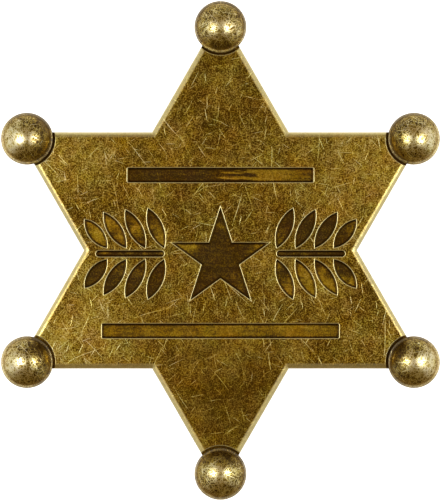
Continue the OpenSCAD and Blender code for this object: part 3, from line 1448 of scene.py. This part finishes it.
@dataclass
class StarPlate:
    """The six-pointed plate with its rounded edge, ball seats, engraving and two pegs."""

    sizes: BadgeSizes
    edge_round: float = 0.85
    back_round: float = 0.25
    # Width of the narrow band that keeps a round's shading off the flat beside it.
    hold: float = 0.05
    lug_inset: float = 0.15
    groove_w: float = 0.33
    bore_r: float = 0.95
    recess_depth: float = 0.45
    lip_r: float = 0.14
    wall_draft: float = 0.05
    fillet: float = 0.14
    shaded_w: float = 0.14
    peg_r: float = 0.8
    peg_head_r: float = 1.35
    peg_head_h: float = 0.35
    peg_edge: float = 0.08
    peg_rise: float = 0.04
    peg_bulge: float = 0.55
    # Wear of the back's edge, the pegs and their tips, and how wear with its painted highlight falls
    # off over an edge and over a lip.
    back_wear: float = 0.35
    peg_wear: float = 0.3
    peg_tip_wear: float = 0.5
    edge_wear_and_sheen_fall: float = 0.8
    lip_wear_and_sheen_fall: float = 0.5
    # Spacing of points on the sides, the face, the engraved floors and the back.
    side_step: float = 0.5
    grid_step: float = 1.3
    floor_step: float = 0.9
    back_step: float = 2.6
    floor_clear: float = 0.35
    back_clear: float = 0.8
    # Part of a side that the even spacing leaves to the ball's seat.
    seat_part: float = 5.5
    # More than half of the longest recess.
    floor_extent: float = 20.0
    lip_steps: int = 5
    edge_steps: int = 9
    back_steps: int = 4
    fillet_steps: int = 3
    peg_steps: int = 7
    # Angle over the peg's shoulder at which its round head starts, in radians.
    peg_start: float = 0.15
    # Angle in degrees from which an edge is shaded sharp.
    sharp: float = 40.0
    lug_steps: int = 44
    seat_steps: int = 22
    hole_steps: int = 32
    # Slack with which a point counts as on the seat's floor or on the lug.
    seat_slack: float = 0.004
    lug_slack: float = 0.002
    spots: tuple[RubbedSpot, ...] = (
        RubbedSpot(-22.0, -11.0, 17.0, 0.19),
        RubbedSpot(22.0, 12.0, 15.0, 0.23),
        RubbedSpot(-22.0, 13.0, 13.0, 0.08),
        RubbedSpot(0.0, -9.0, 13.0, 0.08),
        RubbedSpot(0.0, -29.0, 12.0, -0.06),
    )

    @property
    def lug_r(self) -> float:
        """Radius of the round lug under each ball."""
        return self.sizes.rim_r - self.lug_inset

    @property
    def seat_r(self) -> float:
        """Radius of each ball's seat."""
        return self.sizes.rim_r + self.groove_w

    def lip(self) -> list[tuple[float, float, float]]:
        """The rounded lip of a wall: the way still to go to it, the drop, and the wear with a painted
        highlight, brightest halfway round.
        """
        rows = quarter(self.lip_r, self.lip_steps)
        return [
            (way, drop, max(0.0, math.sin(2 * turn)) ** self.lip_wear_and_sheen_fall)
            for drop, way, turn in rows
        ]

    def edge_lines(self) -> list[tuple[float, float, float]]:
        """The edge's round profile.

        Returns:
            Depth from the outline, height, and wear with a painted highlight of each line.
        """
        face = self.sizes.face_z
        found = [
            (depth, face - drop, math.cos(turn) ** self.edge_wear_and_sheen_fall)
            for depth, drop, turn in quarter(self.edge_round, self.edge_steps)
        ]
        return [*found, (self.edge_round + self.hold, face, 0.0)]

    def on_side(self, tip_distance: float, depth: float) -> np.ndarray:
        """A point of a tip's first side, drawn with the tip along x.

        Args:
            tip_distance: Its distance from the ball's centre.
            depth: Its depth inside the star.

        Returns:
            Its x and y.
        """
        lean = math.radians(60)
        reach = self.sizes.side_distance - depth - self.sizes.tip_radius * math.cos(lean)
        angle = -lean - math.acos(reach / tip_distance)
        return polar(tip_distance, angle) + (self.sizes.tip_radius, 0)

    def seat_lines(self) -> list[tuple[float, float, float, float]]:
        """The arcs round a seat, from the face inwards.

        Returns:
            Radius, drop, wear with a painted highlight, and painted shade of each arc.
        """
        found = [(self.seat_r + self.lip_r + self.hold, 0.0, 0.0, 0.0)]
        found += [(self.seat_r + way, drop, wear_and_sheen, 0.0) for way, drop, wear_and_sheen in self.lip()]
        # The seat's floor, in painted shadow.
        found.append((self.seat_r - self.wall_draft / 2, self.sizes.seat_depth, 0.0, SEAT_SHADE))
        return found

    def side(self, depth: float, to_lug: bool) -> np.ndarray:
        """A tip's first side at one depth, from the notch towards the ball.

        Args:
            depth: Its depth inside the star.
            to_lug: Whether it runs on over the seat to the lug.

        Returns:
            Its points, drawn with the tip along x.
        """
        stations = [row[0] for row in self.seat_lines()]
        if to_lug:
            stations.append(self.lug_r - depth)
        notch = polar((self.sizes.side_distance - depth) / COS_30, -math.radians(30))
        near = [self.on_side(radius, depth) for radius in stations]
        steps = math.ceil((self.sizes.notch_r - self.seat_part) / self.side_step)
        return np.concatenate([line(notch, near[0], steps), near])

    def outline(self, inset: float) -> np.ndarray:
        """The whole plate's outline.

        Args:
            inset: How far inside the real outline it runs.

        Returns:
            Its points, anticlockwise, as many at every inset.
        """
        centre = (self.sizes.tip_radius, 0)
        first = self.side(inset, to_lug=True)
        end = first[-1] - centre
        start = math.atan2(end[1], end[0])
        lug = arc(self.lug_r - inset, start, -start, self.lug_steps)[1:-1] + centre
        second = (first * (1, -1))[::-1][:-1]
        tip = np.concatenate([first, lug, second])
        return np.concatenate([turned(tip, angle) for angle in self.sizes.tips])

    def face_lines(self) -> list[np.ndarray]:
        """The open lines that the face's triangles follow.

        Returns:
            The edge's profile and the arcs round the seats.
        """
        found = []
        depths = [row[0] for row in self.edge_lines()]
        centre = (self.sizes.tip_radius, 0)
        for angle in self.sizes.tips:
            for depth in depths[1:]:
                run = self.side(depth, to_lug=False)
                found += [turned(run, angle), turned(run * (1, -1), angle)]
            for radius, *_ in self.seat_lines():
                ends = np.array([self.on_side(radius, depth) for depth in depths])
                last = ends[-1] - centre
                start = math.atan2(last[1], last[0]) + 2 * math.pi
                across = arc(radius, start, 2 * math.pi - start, self.seat_steps)[1:-1] + centre
                whole = np.concatenate([ends, across, (ends * (1, -1))[::-1]])
                found.append(turned(whole, angle))
        return found

    def on_face(self, plan: np.ndarray) -> dict[str, np.ndarray]:
        """Height and marks over the plate's face.

        Args:
            plan: Where they are wanted.

        Returns:
            The height, the wear with its painted highlight, and the patina with its painted shade at
            each point.
        """
        sizes = self.sizes
        depths, heights, wear = (np.array(column) for column in zip(*self.edge_lines()))
        depth = np.clip(sizes.depth(plan), 0, None)
        height = np.interp(depth, depths, heights)
        wear_and_sheen = np.interp(depth, depths, wear)
        distance = np.linalg.norm(plan[:, None, :] - sizes.ball_centres[None], axis=2).min(axis=1)
        radii, drops, seat_wear, shade = (np.array(row)[::-1] for row in zip(*self.seat_lines()))
        on_floor = distance < radii[0] + self.seat_slack
        on_lug = distance < self.lug_r + self.lug_slack
        floor = np.where(on_lug, sizes.seat_z, np.minimum(height, sizes.seat_z))
        walls = np.maximum(height - np.interp(distance, radii, drops), floor)
        wear_and_sheen = np.maximum(wear_and_sheen, np.interp(distance, radii, seat_wear))
        return {
            "height": np.where(on_floor, floor, walls),
            "wear_and_sheen": np.where(on_floor, 0.0, wear_and_sheen),
            "patina_and_shade": np.where(on_floor, SEAT_SHADE, np.interp(distance, radii, shade)),
        }

    def engrave(self, shell: Shell, recess: Recess) -> np.ndarray:
        """Adds one recess: its lip, wall and floor.

        Args:
            shell: Takes the points and faces.
            recess: The shape.

        Returns:
            The loop round it that the face is filled up to.
        """
        floor_z = self.sizes.face_z - self.recess_depth
        draft = self.wall_draft
        border = -self.lip_r - self.hold / 2
        floor_edge = draft + self.fillet + self.hold
        # Inset, height above the floor, wear with a painted highlight, and patina with painted shadow
        # of each loop.
        rows = [(border, self.recess_depth, 0.0, 0.0)]
        rows += [(-way, self.recess_depth - drop, wear_and_sheen, 0.0) for way, drop, wear_and_sheen in self.lip()]
        # Painted shadow on the wall and at the floor's edge.
        for inset, rise, _ in quarter(self.fillet, self.fillet_steps):
            rows.append((draft + inset, rise, 0.0, WALL_SHADE))
        rows.append((floor_edge, 0.0, 0.0, EDGE_SHADE))
        rows.append((floor_edge + self.shaded_w, 0.0, 0.0, FLOOR_SHADE))
        shell.loft(
            [shell.add(recess.loop(inset), floor_z + rise, *marks) for inset, rise, *marks in rows]
        )
        floor = recess.loop(rows[-1][0])
        low, high = floor.min(0), floor.max(0)
        within = hex_grid(self.floor_extent, self.floor_step)
        within = within[np.all(np.abs(within) < (high - low) / 2, axis=1)] + (low + high) / 2
        within = away(within[inside(within, floor)], [floor], self.floor_clear)
        fill(shell, [floor], [], within, [], lambda plan: {"height": floor_z, "patina_and_shade": FLOOR_SHADE})
        return recess.loop(border)

    def peg(self, shell: Shell, centre: tuple[float, float]) -> np.ndarray:
        """Adds a peg below the back, with its head flattened over the pin's strip.

        Args:
            shell: Takes the points and faces.
            centre: Where it stands.

        Returns:
            The loop round its foot.
        """
        back = self.sizes.back_z
        shoulder = back - self.sizes.strip_t - 2 * self.sizes.face_gap
        inner = self.peg_head_r - self.peg_edge
        profile = [(self.peg_r, back), (self.peg_r, shoulder), (inner, shoulder)]
        head_z = shoulder - self.peg_rise
        for angle in np.linspace(self.peg_start, QUARTER, self.peg_steps + 1)[:-1]:
            radius = self.peg_head_r * math.cos(angle) ** self.peg_bulge
            profile.append((radius, head_z - (self.peg_head_h - self.peg_rise) * math.sin(angle)))
        loops = [
            shell.add(ring(radius, self.hole_steps, centre), height, self.peg_wear)
            for radius, height in profile
        ]
        shell.loft(loops)
        tip = shell.add(np.array([centre]), shoulder - self.peg_head_h, self.peg_tip_wear)[0]
        shell.fan(loops[-1], tip)
        return ring(self.peg_r, self.hole_steps, centre)

    def grid(self, step: float) -> np.ndarray:
        """Points spread over the star, within its rounded edge."""
        spread = hex_grid(self.sizes.tip_radius, step)
        return spread[self.sizes.depth(spread) > self.edge_round]

    def mesh(self) -> bpy.types.Mesh:
        """Builds the whole plate as one closed mesh.

        Returns:
            The mesh.
        """
        shell = Shell()
        sizes = self.sizes
        outline = self.outline(0.0)
        bores = [ring(self.bore_r, self.hole_steps, centre) for centre in sizes.ball_centres]
        holes = [*bores, *(self.engrave(shell, shape) for shape in Engraving(sizes).recesses())]
        lines = self.face_lines()
        grid = self.grid(self.grid_step)
        for hole in holes:
            grid = grid[~inside(grid, hole)]
        grid = away(grid, [outline, *holes, *lines], 0.5 * self.grid_step)
        fill(shell, [outline, *holes], lines, grid, holes, self.on_face)

        loops = [shell.add(outline, **self.on_face(outline))]
        for inset, rise, _ in quarter(self.back_round, self.back_steps):
            loops.append(shell.add(self.outline(inset), sizes.back_z + rise, self.back_wear))
        last = self.outline(self.back_round + self.hold)
        loops.append(shell.add(last, sizes.back_z))
        shell.loft(loops)

        for bore in bores:
            seat = shell.add(bore, sizes.seat_z, 0.0, FLOOR_SHADE)
            shell.loft([seat, shell.add(bore, sizes.back_z)])
        holes = [*bores, *(self.peg(shell, centre) for centre in sizes.peg_centres)]
        grid = away(self.grid(self.back_step), [last, *holes], self.back_clear)
        fill(shell, [last, *holes], [], grid, holes, lambda plan: {"height": sizes.back_z})
        return shell.mesh("star_plate_mesh", self.sharp)

    def build(self) -> bpy.types.Object:
        """Builds and dresses the plate.

        Returns:
            The piece.
        """
        piece = placed("brass_star_plate", self.mesh(), ["star_plate"])
        finish = BrassFinish("antique_brass_plate", face_z=self.sizes.face_z, spots=self.spots)
        piece.data.materials.append(finish.material())
        return piece


@dataclass
class TipBalls:
    """Six domed balls, each riveted through its lug."""

    sizes: BadgeSizes
    dome_r: float = 3.57
    rim_t: float = 0.65
    rim_round: float = 0.24
    # Keeps the rim's rings within the CAD model's.
    rim_inset: float = 0.004
    shank_r: float = 0.9
    head_r: float = 1.7
    head_h: float = 0.55
    head_edge: float = 0.08
    head_rise: float = 0.1
    head_steps: int = 8
    head_tip_r: float = 0.25
    # Width of the bevels under the rim and over the head, and of the flat at the dome's foot.
    bevel: float = 0.06
    foot_w: float = 0.03
    # Degrees from the crown at which painted shade begins to darken the dome, and how dark that
    # painted shade is at its foot.
    foot_from: float = 84.0
    foot_shade: float = 0.5
    dome_steps: int = 28
    rim_steps: int = 6
    segments: int = 96
    # Angle in degrees from which an edge is shaded sharp.
    sharp: float = 35.0
    seed: int = 7

    @property
    def rim_z(self) -> float:
        """Height of the rim's underside."""
        return self.sizes.seat_z + self.sizes.face_gap

    @property
    def foot_z(self) -> float:
        """Height of the dome's foot."""
        return self.rim_z + self.rim_t

    @property
    def head_z(self) -> float:
        """Height at which the rivet's head begins, behind the plate."""
        return self.sizes.back_z - self.sizes.face_gap

    def profile(self) -> list[tuple[float, float, float, float]]:
        """The rings of a ball, from the top of the dome down.

        Returns:
            Radius, height, wear with a painted highlight, and painted shade of each ring.
        """
        rim_z, foot_z, head_z = self.rim_z, self.foot_z, self.head_z
        rim_r = self.sizes.rim_r - self.rim_inset
        rows = []
        for turn in np.linspace(0, QUARTER, self.dome_steps + 1)[1:]:
            radius, rise = self.dome_r * math.sin(turn), self.dome_r * math.cos(turn)
            past = max(0.0, math.degrees(turn) - self.foot_from) / (90 - self.foot_from)
            rows.append((radius, foot_z + rise, 0.0, past * self.foot_shade))
        # Wear with a painted highlight on the rim, and painted shade at the dome's foot, under the
        # rim, on the shank and at the head's shoulder.
        rows.append((self.dome_r + self.foot_w, foot_z, 0.3, 0.3))
        for inset, drop, _ in reversed(quarter(self.rim_round, self.rim_steps)):
            rows.append((rim_r - inset, foot_z - drop, 0.8, 0.0))
        inner = self.head_r - self.head_edge
        rows += [
            (rim_r, rim_z + self.bevel, 0.4, 0.2),
            (rim_r - self.bevel, rim_z, 0.2, 0.5),
            (self.shank_r, rim_z, 0.0, 1.0),
            (self.shank_r, head_z, 0.0, 1.0),
            (inner, head_z, 0.0, 0.6),
            (self.head_r, head_z - self.bevel, 0.3, 0.0),
        ]
        curve = (self.head_r**2 + self.head_h**2) / (2 * self.head_h)
        for radius in np.linspace(inner, self.head_tip_r, self.head_steps + 1):
            drop = math.sqrt(curve**2 - radius**2) - (curve - self.head_h)
            rows.append((radius, head_z - max(drop, self.head_rise), 0.1, 0.0))
        return rows

    def ball(self) -> bpy.types.Mesh:
        """Builds one ball about the origin's axis.

        Returns:
            The mesh, with its surface unrolled in a point attribute.
        """
        shell = Shell()
        middle = np.zeros((1, 2))
        top = shell.add(middle, self.foot_z + self.dome_r)
        loops = [shell.add(ring(radius, self.segments), *rest) for radius, *rest in self.profile()]
        shell.fan(loops[0], top[0])
        shell.loft(loops)
        end = shell.add(middle, self.head_z - self.head_h, 0.3)
        shell.fan(loops[-1], end[0])
        mesh = shell.mesh("ball_mesh", self.sharp)
        self.unroll(mesh)
        return mesh

    def unroll(self, mesh: bpy.types.Mesh) -> None:
        """Stores each point's place on the ball as if its surface lay flat.

        Args:
            mesh: The ball, in metres.
        """
        profile = np.array([(0.0, self.foot_z + self.dome_r), *(row[:2] for row in self.profile())])
        runs = np.concatenate([[0], np.cumsum(np.linalg.norm(np.diff(profile, axis=0), axis=1))])
        flat = []
        for vertex in mesh.vertices:
            x, y, z = (part / MM for part in vertex.co)
            radius = math.hypot(x, y)
            nearest = np.argmin((profile[:, 0] - radius) ** 2 + (profile[:, 1] - z) ** 2)
            share = runs[nearest] / radius if radius > TOLERANCE else 0.0
            flat += [x * share, y * share, 0.0]
        mesh.attributes.new("disc", "FLOAT_VECTOR", "POINT").data.foreach_set("vector", flat)

    def tree(self, material: bpy.types.Material) -> bpy.types.NodeTree:
        """The tree that sets a ball on each tip, each turned its own way.

        Args:
            material: The balls' finish.

        Returns:
            The tree.
        """
        inputs = {"Tip radius": "Float", "Tip count": "Int", "Seed": "Int"}
        graph, (ball, radius, count, seed) = Graph.grower("balls_on_tips", inputs)
        tips = graph.node(
            "GeometryNodeMeshCircle", {"fill_type": "NONE"}, {"Vertices": count, "Radius": radius}
        )
        first_up = {"Geometry": tips, "Rotation": (0.0, 0.0, QUARTER)}
        upright = graph.node("GeometryNodeTransform", None, first_up)
        spin = graph.node(
            "FunctionNodeRandomValue",
            {"data_type": "FLOAT"},
            {"Min": 0.0, "Max": 2 * math.pi, "Seed": seed},
            "Value",
        )
        turn = graph.node("FunctionNodeEulerToRotation", None, {0: graph.combined(z=spin)})
        balls = graph.node(
            "GeometryNodeInstanceOnPoints",
            None,
            {"Points": upright, "Instance": ball, "Rotation": turn},
        )
        numbered = graph.node(
            "GeometryNodeStoreNamedAttribute",
            {"data_type": "FLOAT", "domain": "INSTANCE"},
            {"Geometry": balls, "Name": "ball", "Value": graph.node("GeometryNodeInputIndex")},
        )
        return graph.grown_in(numbered, material)

    def build(self) -> bpy.types.Object:
        """Builds and dresses the balls.

        Returns:
            The piece.
        """
        tip_radius = self.sizes.tip_radius
        material = BallBrass("antique_brass_balls", tip_radius=tip_radius).material()
        inputs = {"Tip radius": tip_radius * MM, "Tip count": TIP_COUNT, "Seed": self.seed}
        mesh = grown("tip_balls_mesh", self.ball(), self.tree(material), inputs)
        return placed("brass_tip_balls", mesh, BALL_NODES)


@dataclass
class BroochPin:
    """The pin on the back: a strip that the pegs hold, a hinge block, a wire and an open catch."""

    sizes: BadgeSizes
    strip_l: float = 31.0
    strip_w: float = 4.2
    edge_round: float = 0.12
    hole_r: float = 0.85
    pin_span: float = 25.0
    barrel_r: float = 1.0
    wire_r: float = 0.4
    point_l: float = 2.2
    point_r: float = 0.05
    catch_r: float = 0.45
    catch_wall: float = 0.35
    catch_l: float = 3.0
    catch_opening: float = 80.0
    catch_round: float = 0.08
    # How far each side of the post is inside the CAD model's, along the wire and across.
    post_inset: float = 0.02
    post_slim: float = 0.01
    sink: float = 0.05
    wear: float = 0.3
    edge_wear: float = 0.8
    hole_wear: float = 0.4
    hole_shade: float = 0.3
    round_steps: int = 4
    end_steps: int = 20
    hole_steps: int = 32
    barrel_steps: int = 24
    catch_steps: int = 40
    wire_rings: int = 118
    wire_sides: int = 24
    # Angle in degrees from which an edge is shaded sharp.
    sharp: float = 35.0

    @property
    def top_z(self) -> float:
        """Height of the strip's top."""
        return self.sizes.back_z - self.sizes.face_gap

    @property
    def bottom_z(self) -> float:
        """Height of the strip's underside."""
        return self.top_z - self.sizes.strip_t

    @property
    def barrel_z(self) -> float:
        """Height of the hinge barrel's middle."""
        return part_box("brooch_pin")[0].z / MM + self.barrel_r

    @property
    def wire_z(self) -> float:
        """Height of the wire's middle, a catch's outer radius above the pin's lowest point."""
        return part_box("brooch_pin")[0].z / MM + self.catch_r + self.catch_wall

    def section(self, half_x: float, half_y: float) -> np.ndarray:
        """A rectangle about the origin, with the catch's round corners."""
        radius = self.catch_round
        return np.concatenate(corner_arcs(half_x - radius, half_y - radius, radius, self.round_steps))

    def strip_loop(self, inset: float) -> np.ndarray:
        """The strip's outline, with round ends.

        Args:
            inset: How far inside the real outline it runs.

        Returns:
            Its points, anticlockwise.
        """
        radius = self.strip_w / 2
        end = arc(radius - inset, -QUARTER, QUARTER, self.end_steps) + (self.strip_l / 2 - radius, 0)
        return np.concatenate([end, -end]) + (0, self.sizes.pin_y)

    def strip(self, shell: Shell) -> None:
        """Adds the base strip with its two peg holes."""
        rounds = quarter(self.edge_round, self.round_steps)
        rows = [(inset, self.top_z - drop, turn) for drop, inset, turn in rounds]
        rows += [(inset, self.bottom_z + rise, turn) for rise, inset, turn in reversed(rounds)]
        shell.loft(
            [shell.add(self.strip_loop(inset), z, math.sin(2 * turn)) for inset, z, turn in rows]
        )
        holes = [ring(self.hole_r, self.hole_steps, centre) for centre in self.sizes.peg_centres]
        for hole in holes:
            above = shell.add(hole, self.top_z, 0.0, FLOOR_SHADE)
            shell.loft([above, shell.add(hole, self.bottom_z, self.hole_wear, self.hole_shade)])
        face = self.strip_loop(self.edge_round)
        for height in (self.top_z, self.bottom_z):
            fill(shell, [face, *holes], [], np.zeros((0, 2)), holes, lambda plan: {"height": height})

    def capped(self, shell: Shell, loops: Sequence[np.ndarray]) -> None:
        """Closes a run of loops into a solid with flat ends."""
        shell.loft(loops)
        shell.faces += [tuple(loops[0]), tuple(loops[-1])]

    def hinge(self, shell: Shell) -> None:
        """Adds the hinge block, round below where the wire turns."""
        half = self.strip_w / 2
        edge = self.edge_round
        into = self.bottom_z + self.sink
        loops = []
        for y, inset in ((-half, edge), (-half + edge, 0.0), (half - edge, 0.0), (half, edge)):
            radius = self.barrel_r - inset
            low = arc(radius, -math.pi, 0, self.barrel_steps)
            x = np.concatenate([[-radius], low[:, 0], [radius]]) - self.pin_span / 2
            z = np.concatenate([[into], low[:, 1] + self.barrel_z, [into]])
            plan = np.column_stack([x, np.full(len(x), self.sizes.pin_y + y)])
            loops.append(shell.add(plan, z, self.edge_wear if inset else self.wear))
        self.capped(shell, loops)

    def catch(self, shell: Shell) -> None:
        """Adds the catch: a ring round the wire, open at one side, on a short post."""
        pin_y = self.sizes.pin_y
        section = self.section(self.catch_l / 2, self.catch_wall / 2)
        middle = self.catch_r + self.catch_wall / 2
        reach = middle + section[:, 1]
        start = math.radians(180 + self.catch_opening / 2)
        end = math.radians(540 - self.catch_opening / 2)
        loops = []
        for angle in np.linspace(start, end, self.catch_steps + 1):
            across = pin_y + reach * math.cos(angle)
            plan = np.column_stack([section[:, 0] + self.pin_span / 2, across])
            loops.append(shell.add(plan, self.wire_z + reach * math.sin(angle), self.wear))
        self.capped(shell, loops)
        post = self.section(self.catch_l / 2 - self.post_inset, self.catch_wall - self.post_slim)
        post = post + (self.pin_span / 2, pin_y)
        heights = (self.wire_z + middle, self.bottom_z + self.sink)
        self.capped(shell, [shell.add(post, height, self.wear) for height in heights])

    def tree(self, material: bpy.types.Material) -> bpy.types.NodeTree:
        """The tree that draws the wire with its sharp point and adds it to the rest.

        Args:
            material: The pin's finish.

        Returns:
            The tree.
        """
        inputs = {"Start": "Vector", "End": "Vector"}
        inputs |= {"Wire radius": "Float", "Point radius": "Float", "Point share": "Float"}
        graph, (rest, start, end, thick, thin, share) = Graph.grower("wire_with_point", inputs)
        path = graph.node("GeometryNodeCurvePrimitiveLine", None, {"Start": start, "End": end})
        resampled = {"Curve": path, "Count": self.wire_rings}
        path = graph.node("GeometryNodeResampleCurve", None, resampled)
        way = graph.node("GeometryNodeSplineParameter")
        radius = thin + (thick - thin) * graph.clamp((1.0 - way) / share)
        path = graph.node("GeometryNodeSetCurveRadius", None, {"Curve": path, "Radius": radius})
        sides = {"Resolution": self.wire_sides, "Radius": 1.0}
        circle = graph.node("GeometryNodeCurvePrimitiveCircle", None, sides)
        wire = graph.node(
            "GeometryNodeCurveToMesh",
            None,
            {"Curve": path, "Profile Curve": circle, "Scale": radius, "Fill Caps": True},
        )
        smooth = graph.node("GeometryNodeSetShadeSmooth", None, {"Geometry": wire})
        both = graph.node("GeometryNodeJoinGeometry", None, {0: rest})
        graph.tree.links.new(smooth.socket, both.socket.node.inputs[0])
        return graph.grown_in(both, material)

    def build(self) -> bpy.types.Object:
        """Builds and dresses the pin.

        Returns:
            The piece.
        """
        finish = BrassFinish("worn_brass_pin", base_tone=0.34, cloud=0.4, roughness=0.30, thread=0.3)
        shell = Shell()
        self.strip(shell)
        self.hinge(shell)
        self.catch(shell)
        start_x = -self.pin_span / 2
        end_x = (self.pin_span + self.catch_l) / 2 + self.point_l
        inputs = {
            "Start": [start_x * MM, self.sizes.pin_y * MM, self.wire_z * MM],
            "End": [end_x * MM, self.sizes.pin_y * MM, self.wire_z * MM],
            "Wire radius": self.wire_r * MM,
            "Point radius": self.point_r * MM,
            "Point share": self.point_l / (end_x - start_x),
        }
        rest = shell.mesh("pin_mesh", self.sharp)
        mesh = grown("brooch_pin_mesh", rest, self.tree(finish.material()), inputs)
        return placed("brass_brooch_pin", mesh, ["brooch_pin"])


def grown(
    name: str, start: bpy.types.Mesh, tree: bpy.types.NodeTree, inputs: dict[str, Any]
) -> bpy.types.Mesh:
    """Runs a Geometry Nodes tree on a mesh.

    Args:
        name: Name of the new mesh.
        start: The mesh that the tree starts from.
        tree: The tree.
        inputs: A value for each of its named inputs.

    Returns:
        The result as a plain mesh.
    """
    source = linked(f"{name}_source", start)
    modifier = source.modifiers.new("grow", "NODES")
    modifier.node_group = tree
    for item in tree.interface.items_tree:
        if item.item_type == "SOCKET" and item.in_out == "INPUT" and item.name in inputs:
            modifier[item.identifier] = inputs[item.name]
    bpy.context.view_layer.update()
    depsgraph = bpy.context.evaluated_depsgraph_get()
    mesh = bpy.data.meshes.new_from_object(source.evaluated_get(depsgraph), depsgraph=depsgraph)
    mesh.name = name
    source.modifiers.remove(modifier)
    bpy.data.objects.remove(source)
    return mesh


# The studio


@dataclass(frozen=True)
class Softbox:
    """An oval soft lamp that faces the badge."""

    name: str
    zenith: float
    side: int
    distance: float
    length: float
    width: float
    power: float

    colour: Colour = (1.0, 0.99, 0.97)

    def build(self, target: Vector) -> None:
        """Hangs the lamp.

        Args:
            target: The point that it faces, in metres.
        """
        lamp = bpy.data.lights.new(self.name, "AREA")
        lamp.shape = "ELLIPSE"
        lamp.size = self.length * MM
        lamp.size_y = self.width * MM
        lamp.energy = self.power
        lamp.color = self.colour
        angle = math.radians(self.zenith)
        out = Vector((self.side * math.sin(angle), 0.0, math.cos(angle)))
        along = Vector((self.side * math.cos(angle), 0.0, -math.sin(angle)))
        holder = linked(self.name, lamp)
        holder.location = target + out * self.distance * MM
        holder.rotation_mode = "QUATERNION"
        axes = Matrix((along, out.cross(along), out)).transposed()
        holder.rotation_quaternion = axes.to_quaternion()
        holder.visible_camera = False


@dataclass
class Studio:
    """The pale floor, the soft lamps, the dim room and the camera over the badge."""

    sizes: BadgeSizes
    frame_height: float = 76.35
    centre_y: float = 0.06
    centre_x: float = 0.16
    lens: float = 300.0
    # Nearest and farthest that the camera sees, in metres.
    clip: tuple[float, float] = (0.01, 20.0)
    floor_size: float = 6000.0
    room_colour: Colour = (1.0, 0.64, 0.18)
    # Degrees from straight up of the glow at each side of the badge, and its extent.
    glow_zenith: float = 38.0
    glow: Span = (0.75, 0.25)
    # The ways that count as a side, by how near to the x axis, how level and how high they are.
    sideways: Span = (0.68, 0.25)
    level: Span = (0.3, 0.5)
    upwards: Span = (-1.0, 1 / 2.6)
    # The dim light from below, which is weaker towards the badge's foot.
    below: Span = (1 / 15, -2 / 3)
    below_lean: Span = (-6 / 7, 10 / 7)
    # The light beyond the badge's top.
    beyond: Span = (0.55, 1 / 3)
    beyond_low: Span = (10 / 13, -10 / 13)
    glow_light: float = 0.6
    side_light: float = 0.64
    below_light: float = 0.2
    beyond_light: float = 0.54
    dim_light: float = 0.22
    dim_lean: float = 0.05
    dim_cut: float = 0.5
    backdrop: float = 0.9
    # Keeps the ways straight up and down from a division by 0.
    least_flat: float = 0.0001
    lamps: tuple[Softbox, ...] = (
        Softbox("left_softbox", 36.0, -1, 220.0, 112.0, 105.0, 0.15),
        Softbox("right_softbox", 39.0, 1, 220.0, 112.0, 105.0, 0.15),
    )

    def floor(self) -> None:
        """Lays the floor."""
        half = self.floor_size / 2 * MM
        corners = [(x * half, y * half, 0) for x, y in ((-1, -1), (1, -1), (1, 1), (-1, 1))]
        mesh = bpy.data.meshes.new("floor_mesh")
        mesh.from_pydata(corners, [], [(0, 1, 2, 3)])
        mesh.materials.append(FloorFinish().material())
        floor = linked("pale_floor", mesh)
        floor.visible_glossy = False
        floor.visible_shadow = False

    def room(self) -> None:
        """Fills the room round the badge with dim light, a little brighter at the sides."""
        world = bpy.data.worlds.new("dim_room")
        graph = Graph.emptied(world)
        x, y, z = graph.parts(graph.node("ShaderNodeTexCoord", output="Generated"))
        lean = math.radians(self.glow_zenith)
        toward = abs(x) * math.sin(lean) + z * math.cos(lean)
        glow = graph.ramp(toward, *self.glow) ** 2.0
        flat = graph.math("SQRT", x * x + y * y + self.least_flat)
        facing = graph.ramp(abs(x) / flat, *self.sideways) * graph.ramp(flat, *self.level)
        side = facing * graph.ramp(z, *self.upwards)
        below = graph.ramp(z, *self.below) * graph.ramp(y, *self.below_lean)
        beyond = graph.ramp(y / flat, *self.beyond) * graph.ramp(z, *self.beyond_low)
        bright = glow * self.glow_light + side * self.side_light
        bright = bright + below * self.below_light + beyond * self.beyond_light
        dim = self.dim_light + y * self.dim_lean
        level = bright + dim * (1.0 - self.dim_cut * graph.clamp(side + beyond))
        seen = graph.node("ShaderNodeLightPath", output="Is Camera Ray")
        colour = graph.mixed(graph.clamp(bright / level), (*self.room_colour, 1.0), WHITE)
        strength = level * (1.0 - seen) + seen * self.backdrop
        light = {"Color": graph.mixed(seen, colour, WHITE), "Strength": strength}
        surface = graph.node("ShaderNodeBackground", None, light)
        graph.node("ShaderNodeOutputWorld", None, {"Surface": surface})
        bpy.context.scene.world = world

    def camera(self) -> None:
        """Sets the camera straight above the badge."""
        data = bpy.data.cameras.new("camera")
        data.lens = self.lens
        data.clip_start, data.clip_end = self.clip
        distance = self.frame_height * self.lens / data.sensor_width
        place = (self.centre_x, self.centre_y, self.sizes.face_z + distance)
        camera = linked("camera", data)
        camera.location = Vector(place) * MM
        bpy.context.scene.camera = camera

    def build(self) -> None:
        """Builds the whole studio."""
        self.floor()
        self.room()
        target = Vector((0.0, 0.0, self.sizes.face_z * MM))
        for lamp in self.lamps:
            lamp.build(target)
        self.camera()
        bpy.context.scene.view_settings.view_transform = "Standard"


def main() -> None:
    """Builds the studio and the pieces in order."""
    logging.basicConfig(level=logging.INFO, format="%(name)s: %(message)s")
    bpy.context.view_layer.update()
    sizes = BadgeSizes.from_frame()
    Studio(sizes).build()
    report(StarPlate(sizes).build())
    report(TipBalls(sizes).build())
    report(BroochPin(sizes).build())


if __name__ == "__main__":
    main()
